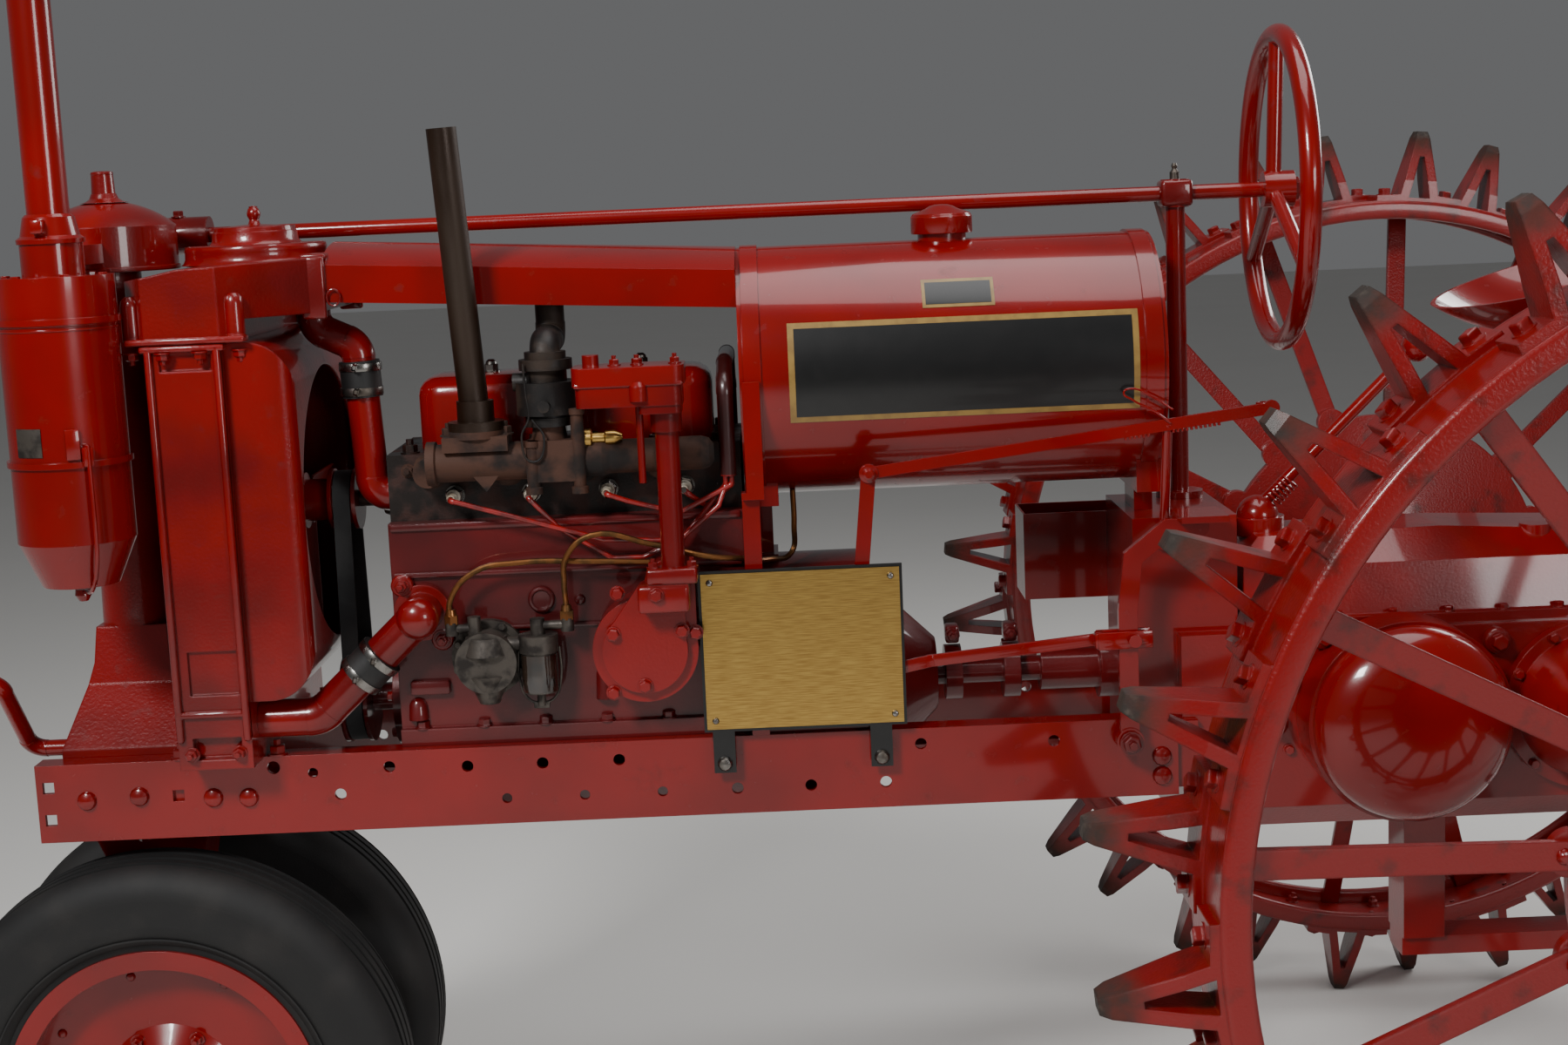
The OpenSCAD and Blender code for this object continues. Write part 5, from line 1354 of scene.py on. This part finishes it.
@dataclass
class ControlDress(Dress):
    """The clutch's flat rod, the control rod's notches and clip, the lever's spring and small bearings."""

    rod_y: float = 0.181
    control_y: float = 0.175
    post: Point = (-0.247, -0.0754, 1.530)
    lever_foot: Point = (-0.345, 0.0, 1.066)
    lever_way: Point = (-0.230, 0.0, 0.240)

    def build(self) -> None:
        """Makes the pieces."""
        self.clutch_rod()
        self.control_rod()
        self.spring()
        self.collar_clamps()
        self.post_bearing()
        pivot = [spot((-0.125, 0.203, 0.791), LEFT, 12)]
        self.bolts("pedal_pivot_nut", Fastener.STUD, 0.0125, pivot, self.finish.cast_red)

    def clutch_rod(self) -> None:
        """A flat rod from the clutch's cross shaft back to a clevis over the pedal's arm."""
        y = self.rod_y
        points = [(0.186, y, 0.905), (0.145, y, 0.913), (-0.085, y, 0.933)]
        made = [link(points[i], points[i + 1], 0.017, 0.006 - 0.0006 * i) for i in range(2)]
        made += [
            link((-0.090, cheek, 0.9335), (-0.150, cheek, 0.9345), 0.024, 0.005)
            for cheek in (y - 0.0015, y + 0.0195)
        ]
        made.append(link((-0.086, y + 0.009, 0.9335), (-0.088, y + 0.009, 0.9335), 0.024, 0.022))
        made.append(move(turned([(0.010, 0), (0.010, 0.071)], 16), spot((0.205, 0.115, 0.908), LEFT)))
        pin = turned([(0.006, 0), (0.006, 0.034), (0.009, 0.035), (0.009, 0.040)], 16)
        made.append(move(pin, spot((-0.132, 0.172, 0.934), LEFT)))
        fit(join(made), "clutch_rod", self.finish.sheet_red)

    def middle(self, x: float) -> float:
        """The control rod's height at a length."""
        return 1.175 + (0.220 - x) * 0.1188

    def control_rod(self) -> None:
        """Notches under the control rod, its rolled eye, the wire clip on it and its front clevis pin."""
        xs = [-0.194 - 0.0062 * i for i in range(11)] + [-0.129 - 0.0062 * i for i in range(6)]
        places = [at(x, self.control_y, self.middle(x) - 0.0092) for x in xs]
        teeth = copies(box((0.0034, 0.006, 0.006), 0.0006), places)
        eye = move(ring(0.0095, 0.016, 0.004, 32), at(-0.322, self.control_y - 0.0105, self.middle(-0.322)))
        pin = turned([(0.013, 0), (0.013, 0.005), (0.008, 0.006), (0.008, 0.016), (0.005, 0.018)], 20)
        move(pin, spot((0.220, self.control_y + 0.001, 1.175), LEFT))
        fit(join([teeth, eye, pin]), "control_rod_notches", self.finish.sheet_red)
        y = self.control_y + 0.0075
        clip = rod(
            [(-0.190, y - 0.002, 1.226), (-0.168, y, 1.243), (-0.138, y, 1.260), (-0.127, y, 1.270),
             (-0.136, y, 1.275), (-0.166, y, 1.262), (-0.193, y - 0.002, 1.244)], 0.0015,
        )
        fit(clip, "wire_clip", self.finish.sheet_red)

    def spring(self) -> None:
        """The coil spring over the gear lever's foot, six turns of nine points."""
        way = Vector(self.lever_way).normalized()
        base = spot(Vector(self.lever_foot) + way * 0.030, way)
        turns = [(i, math.radians(i * 40)) for i in range(6 * 9 + 1)]
        coil = [(0.0125 * math.cos(turn), 0.0125 * math.sin(turn), i * 0.040 / 54) for i, turn in turns]
        wire = rod([tuple(base @ Vector(point)) for point in coil], 0.0021, 3)
        fit(wire, "lever_spring", self.finish.sheet_red)

    def collar_clamps(self) -> None:
        """The clamp lugs and bolts on the two collars of the clutch shaft."""
        xs = (0.017, 0.101)
        lugs = copies(box((0.020, 0.030, 0.026), 0.004), [at(x, 0.0, 0.913) for x in xs])
        bolts = nuts_of(Fastener.STUD, 0.0085, [spot((x, 0.015, 0.913), LEFT, 20) for x in xs])
        fit(join([lugs, bolts]), "shaft_clamps", self.finish.dull_red)

    def post_bearing(self) -> None:
        """The squarish bearing on the steering post and its grease nipple."""
        x, y, z = self.post
        fit(move(box((0.046, 0.044, 0.038), 0.006, 3), at(x, y, z)), "post_bearing", self.finish.cast_red)
        nipple = [(0.0070, 0.016), (0.0070, 0.030), (0.0050, 0.032), (0.0034, 0.035), (0.0046, 0.039)]
        made = stacked(x, y, [(z, 12, nipple + [(0.0028, 0.043)])])
        fit(join(made), "grease_nipple", self.finish.steel)


@dataclass
class PlateDress(Dress):
    """The bare brass plate's screws and its bracket's bolts."""

    x: float = 0.184
    y: float = 0.192
    z: float = 0.832
    wide: float = 0.270
    high: float = 0.216
    edge: float = 0.012

    def build(self) -> None:
        """Makes the screws."""
        corners = [
            spot((self.x + x, self.y, self.z + z), LEFT, x * 900)
            for x in (self.edge, self.wide - self.edge)
            for z in (self.edge, self.high - self.edge)
        ]
        heads = [spot((self.x + x, 0.190, 0.783), LEFT) for x in (0.032, 0.248)]
        made = [nuts_of(Fastener.RIVET, 0.005, corners), nuts_of(Fastener.RIVET, 0.011, heads)]
        fit(join(made), "plate_screws", self.finish.steel)


@dataclass
class FrontAxleDress(Dress):
    """Bolts where the pedestal meets the king pin's flange."""

    king_x: float = 1.272
    top_z: float = 0.686

    def build(self) -> None:
        """Makes the bolts, heads down, but none at the front and the back."""
        places = circle_of((self.king_x, 0, self.top_z), 0.073, 6, DOWN, 30)
        places = [place for place in places if abs(place.translation.y) > 0.05]
        fit(nuts_of(Fastener.HEX, 0.009, places), "pedestal_bolts", self.finish.cast_red, "front_steer")


class Side(Enum):
    """Which side of the tractor a wheel is on."""

    LEFT = 1
    RIGHT = -1


@dataclass
class WheelDress(Dress):
    """What the four wheels share: the side they are on, and the names that follow from it."""

    side: Side
    body: str = "wheel"

    def wear(self, piece: Piece, name: str, worn: Look) -> None:
        """Fits a piece to this wheel's body, under a name that ends with its side."""
        hand = self.side.name.lower()
        fit(piece, f"{name}_{hand}", worn, f"{self.body}_{hand}")


@dataclass
class RearWheelDress(WheelDress):
    """Lug bolts, the rim's rolled edges, spoke rivets and the hub's bolts on one rear wheel."""

    body: str = "rear_wheel"
    axle_x: float = -0.766
    axle_z: float = 0.80698
    wheel_y: float = 0.940
    rim_r: float = 0.686
    lug_t: float = 0.010
    foot_at: float = 0.054
    lug_count: int = 16
    row_y: float = 0.042
    spoke_rim_r: float = 0.6777
    spoke_end_y: float = 0.0625
    spoke_t: float = 0.010
    dish: float = 0.258

    def radial(self, angle: float) -> Vector:
        """The way away from the axle at an angle in degrees."""
        turn = math.radians(angle)
        return Vector((math.cos(turn), 0, -math.sin(turn)))

    def point(self, radius: float, angle: float, out: float) -> Vector:
        """A point by its distance from the axle, its angle and how far out it lies."""
        middle = Vector((self.axle_x, self.side.value * (self.wheel_y + out), self.axle_z))
        return middle + self.radial(angle) * radius

    def build(self) -> None:
        """Makes the pieces."""
        self.lug_bolts()
        self.rivets()
        edge = ring(self.rim_r - 0.033, 0.016, 0.0334, 128, 0.46)
        hoops = copies(edge, [spot(self.point(0, 0, out), LEFT) for out in (0.0715, -0.0715)])
        self.wear(hoops, "rim_edges", self.finish.wheel_red)

    def lug_bolts(self) -> None:
        """A bolt through each lug foot, with its nut inside the rim."""
        step = 360 / self.lug_count
        heads, nuts = [], []
        for row in (-1, 1):
            for i in range(self.lug_count):
                for shift in (-1, 1):
                    angle = 90 + i * step + row * step / 4 + shift * math.degrees(self.foot_at / self.rim_r)
                    way = self.radial(angle)
                    outer = self.point(self.rim_r + self.lug_t - 0.001, angle, row * self.row_y)
                    inner = self.point(self.rim_r - 0.008, angle, row * self.row_y)
                    heads.append(spot(outer, way, 7 * i))
                    nuts.append(spot(inner, -way, 9 * i))
        made = [nuts_of(Fastener.SQUARE, 0.011, heads), nuts_of(Fastener.STUD, 0.0095, nuts)]
        self.wear(join(made), "lug_bolts", self.finish.wheel_red)

    def rivets(self) -> None:
        """Three rivets at the hub end of every spoke, and bolts round the hub."""
        step = 360 / self.lug_count
        tilt = math.atan(self.dish)
        out = Vector((0, self.side.value, 0))
        places = []
        for i in range(self.lug_count):
            angle = i * step + 90 - step / 4
            normal = out * math.cos(tilt) - self.radial(angle) * math.sin(tilt)
            for radius in (0.306, 0.278, 0.250):
                depth = (self.spoke_rim_r - radius) * self.dish - self.spoke_t / 2 / math.cos(tilt)
                places.append(spot(self.point(radius, angle, self.spoke_end_y - depth), normal))
        hub = circle_of(self.point(0, 0, 0.046), 0.074, 8, out, 11)
        made = [nuts_of(Fastener.RIVET, 0.0095, places), nuts_of(Fastener.HEX, 0.008, hub)]
        self.wear(join(made), "spoke_rivets", self.finish.cast_red)


@dataclass
class FrontWheelDress(WheelDress):
    """Disc bolts, hub cap and tyre beads on one front wheel."""

    body: str = "front_wheel"
    x: float = 1.238
    y: float = 0.143
    z: float = 0.33926
    camber: float = 2.0

    def build(self) -> None:
        """Makes the pieces about +Z and stands them on the wheel."""
        turn = Matrix.Rotation(-self.side.value * math.radians(90 + self.camber), 4, "X")
        place = at(self.x, self.side.value * self.y, self.z) @ turn
        cap = turned([(0.036, 0.046), (0.038, 0.050), (0.038, 0.060), (0.030, 0.070), (0.012, 0.074)], 28)
        studs = nuts_of(Fastener.STUD, 0.0085, self.around(0.083, 0.021, range(0, 360, 60)))
        rivets = nuts_of(Fastener.RIVET, 0.007, self.around(0.172, 0.014, range(15, 375, 45)))
        self.wear(move(join([cap, studs, rivets]), place), "hub_cap", self.finish.sheet_red)
        rows = ((0.238, 0.0675), (0.300, 0.0665))
        beads = [move(ring(r, 0.003, 0.003, 96), at(0, 0, side * out)) for side in SIDES for r, out in rows]
        self.wear(move(join(beads), place), "tyre_beads", self.finish.tyre)

    def around(self, radius: float, out: float, degrees: Iterable[int]) -> list[Matrix]:
        """Places round the wheel's axis at some angles."""
        return [Matrix.Rotation(math.radians(a), 4, "Z") @ at(radius, 0, out) for a in degrees]


def main() -> None:
    """Builds the studio and every sub-assembly."""
    logging.basicConfig(level=logging.INFO, format="%(name)s: %(message)s")
    Studio().build()
    finish = Finishes()
    finish.dress_nodes()
    kinds = (
        FrameDress, RadiatorDress, AirCleanerDress, EngineDress, TankDress, TransmissionDress, ControlDress,
        PlateDress, FrontAxleDress,
    )
    assemblies = [kind(finish) for kind in kinds]
    assemblies += [RearWheelDress(finish, side) for side in Side]
    assemblies += [FrontWheelDress(finish, side) for side in Side]
    for assembly in assemblies:
        LOG.info("building %s", type(assembly).__name__)
        assembly.build()
    bpy.context.view_layer.update()


if __name__ == "__main__":
    main()
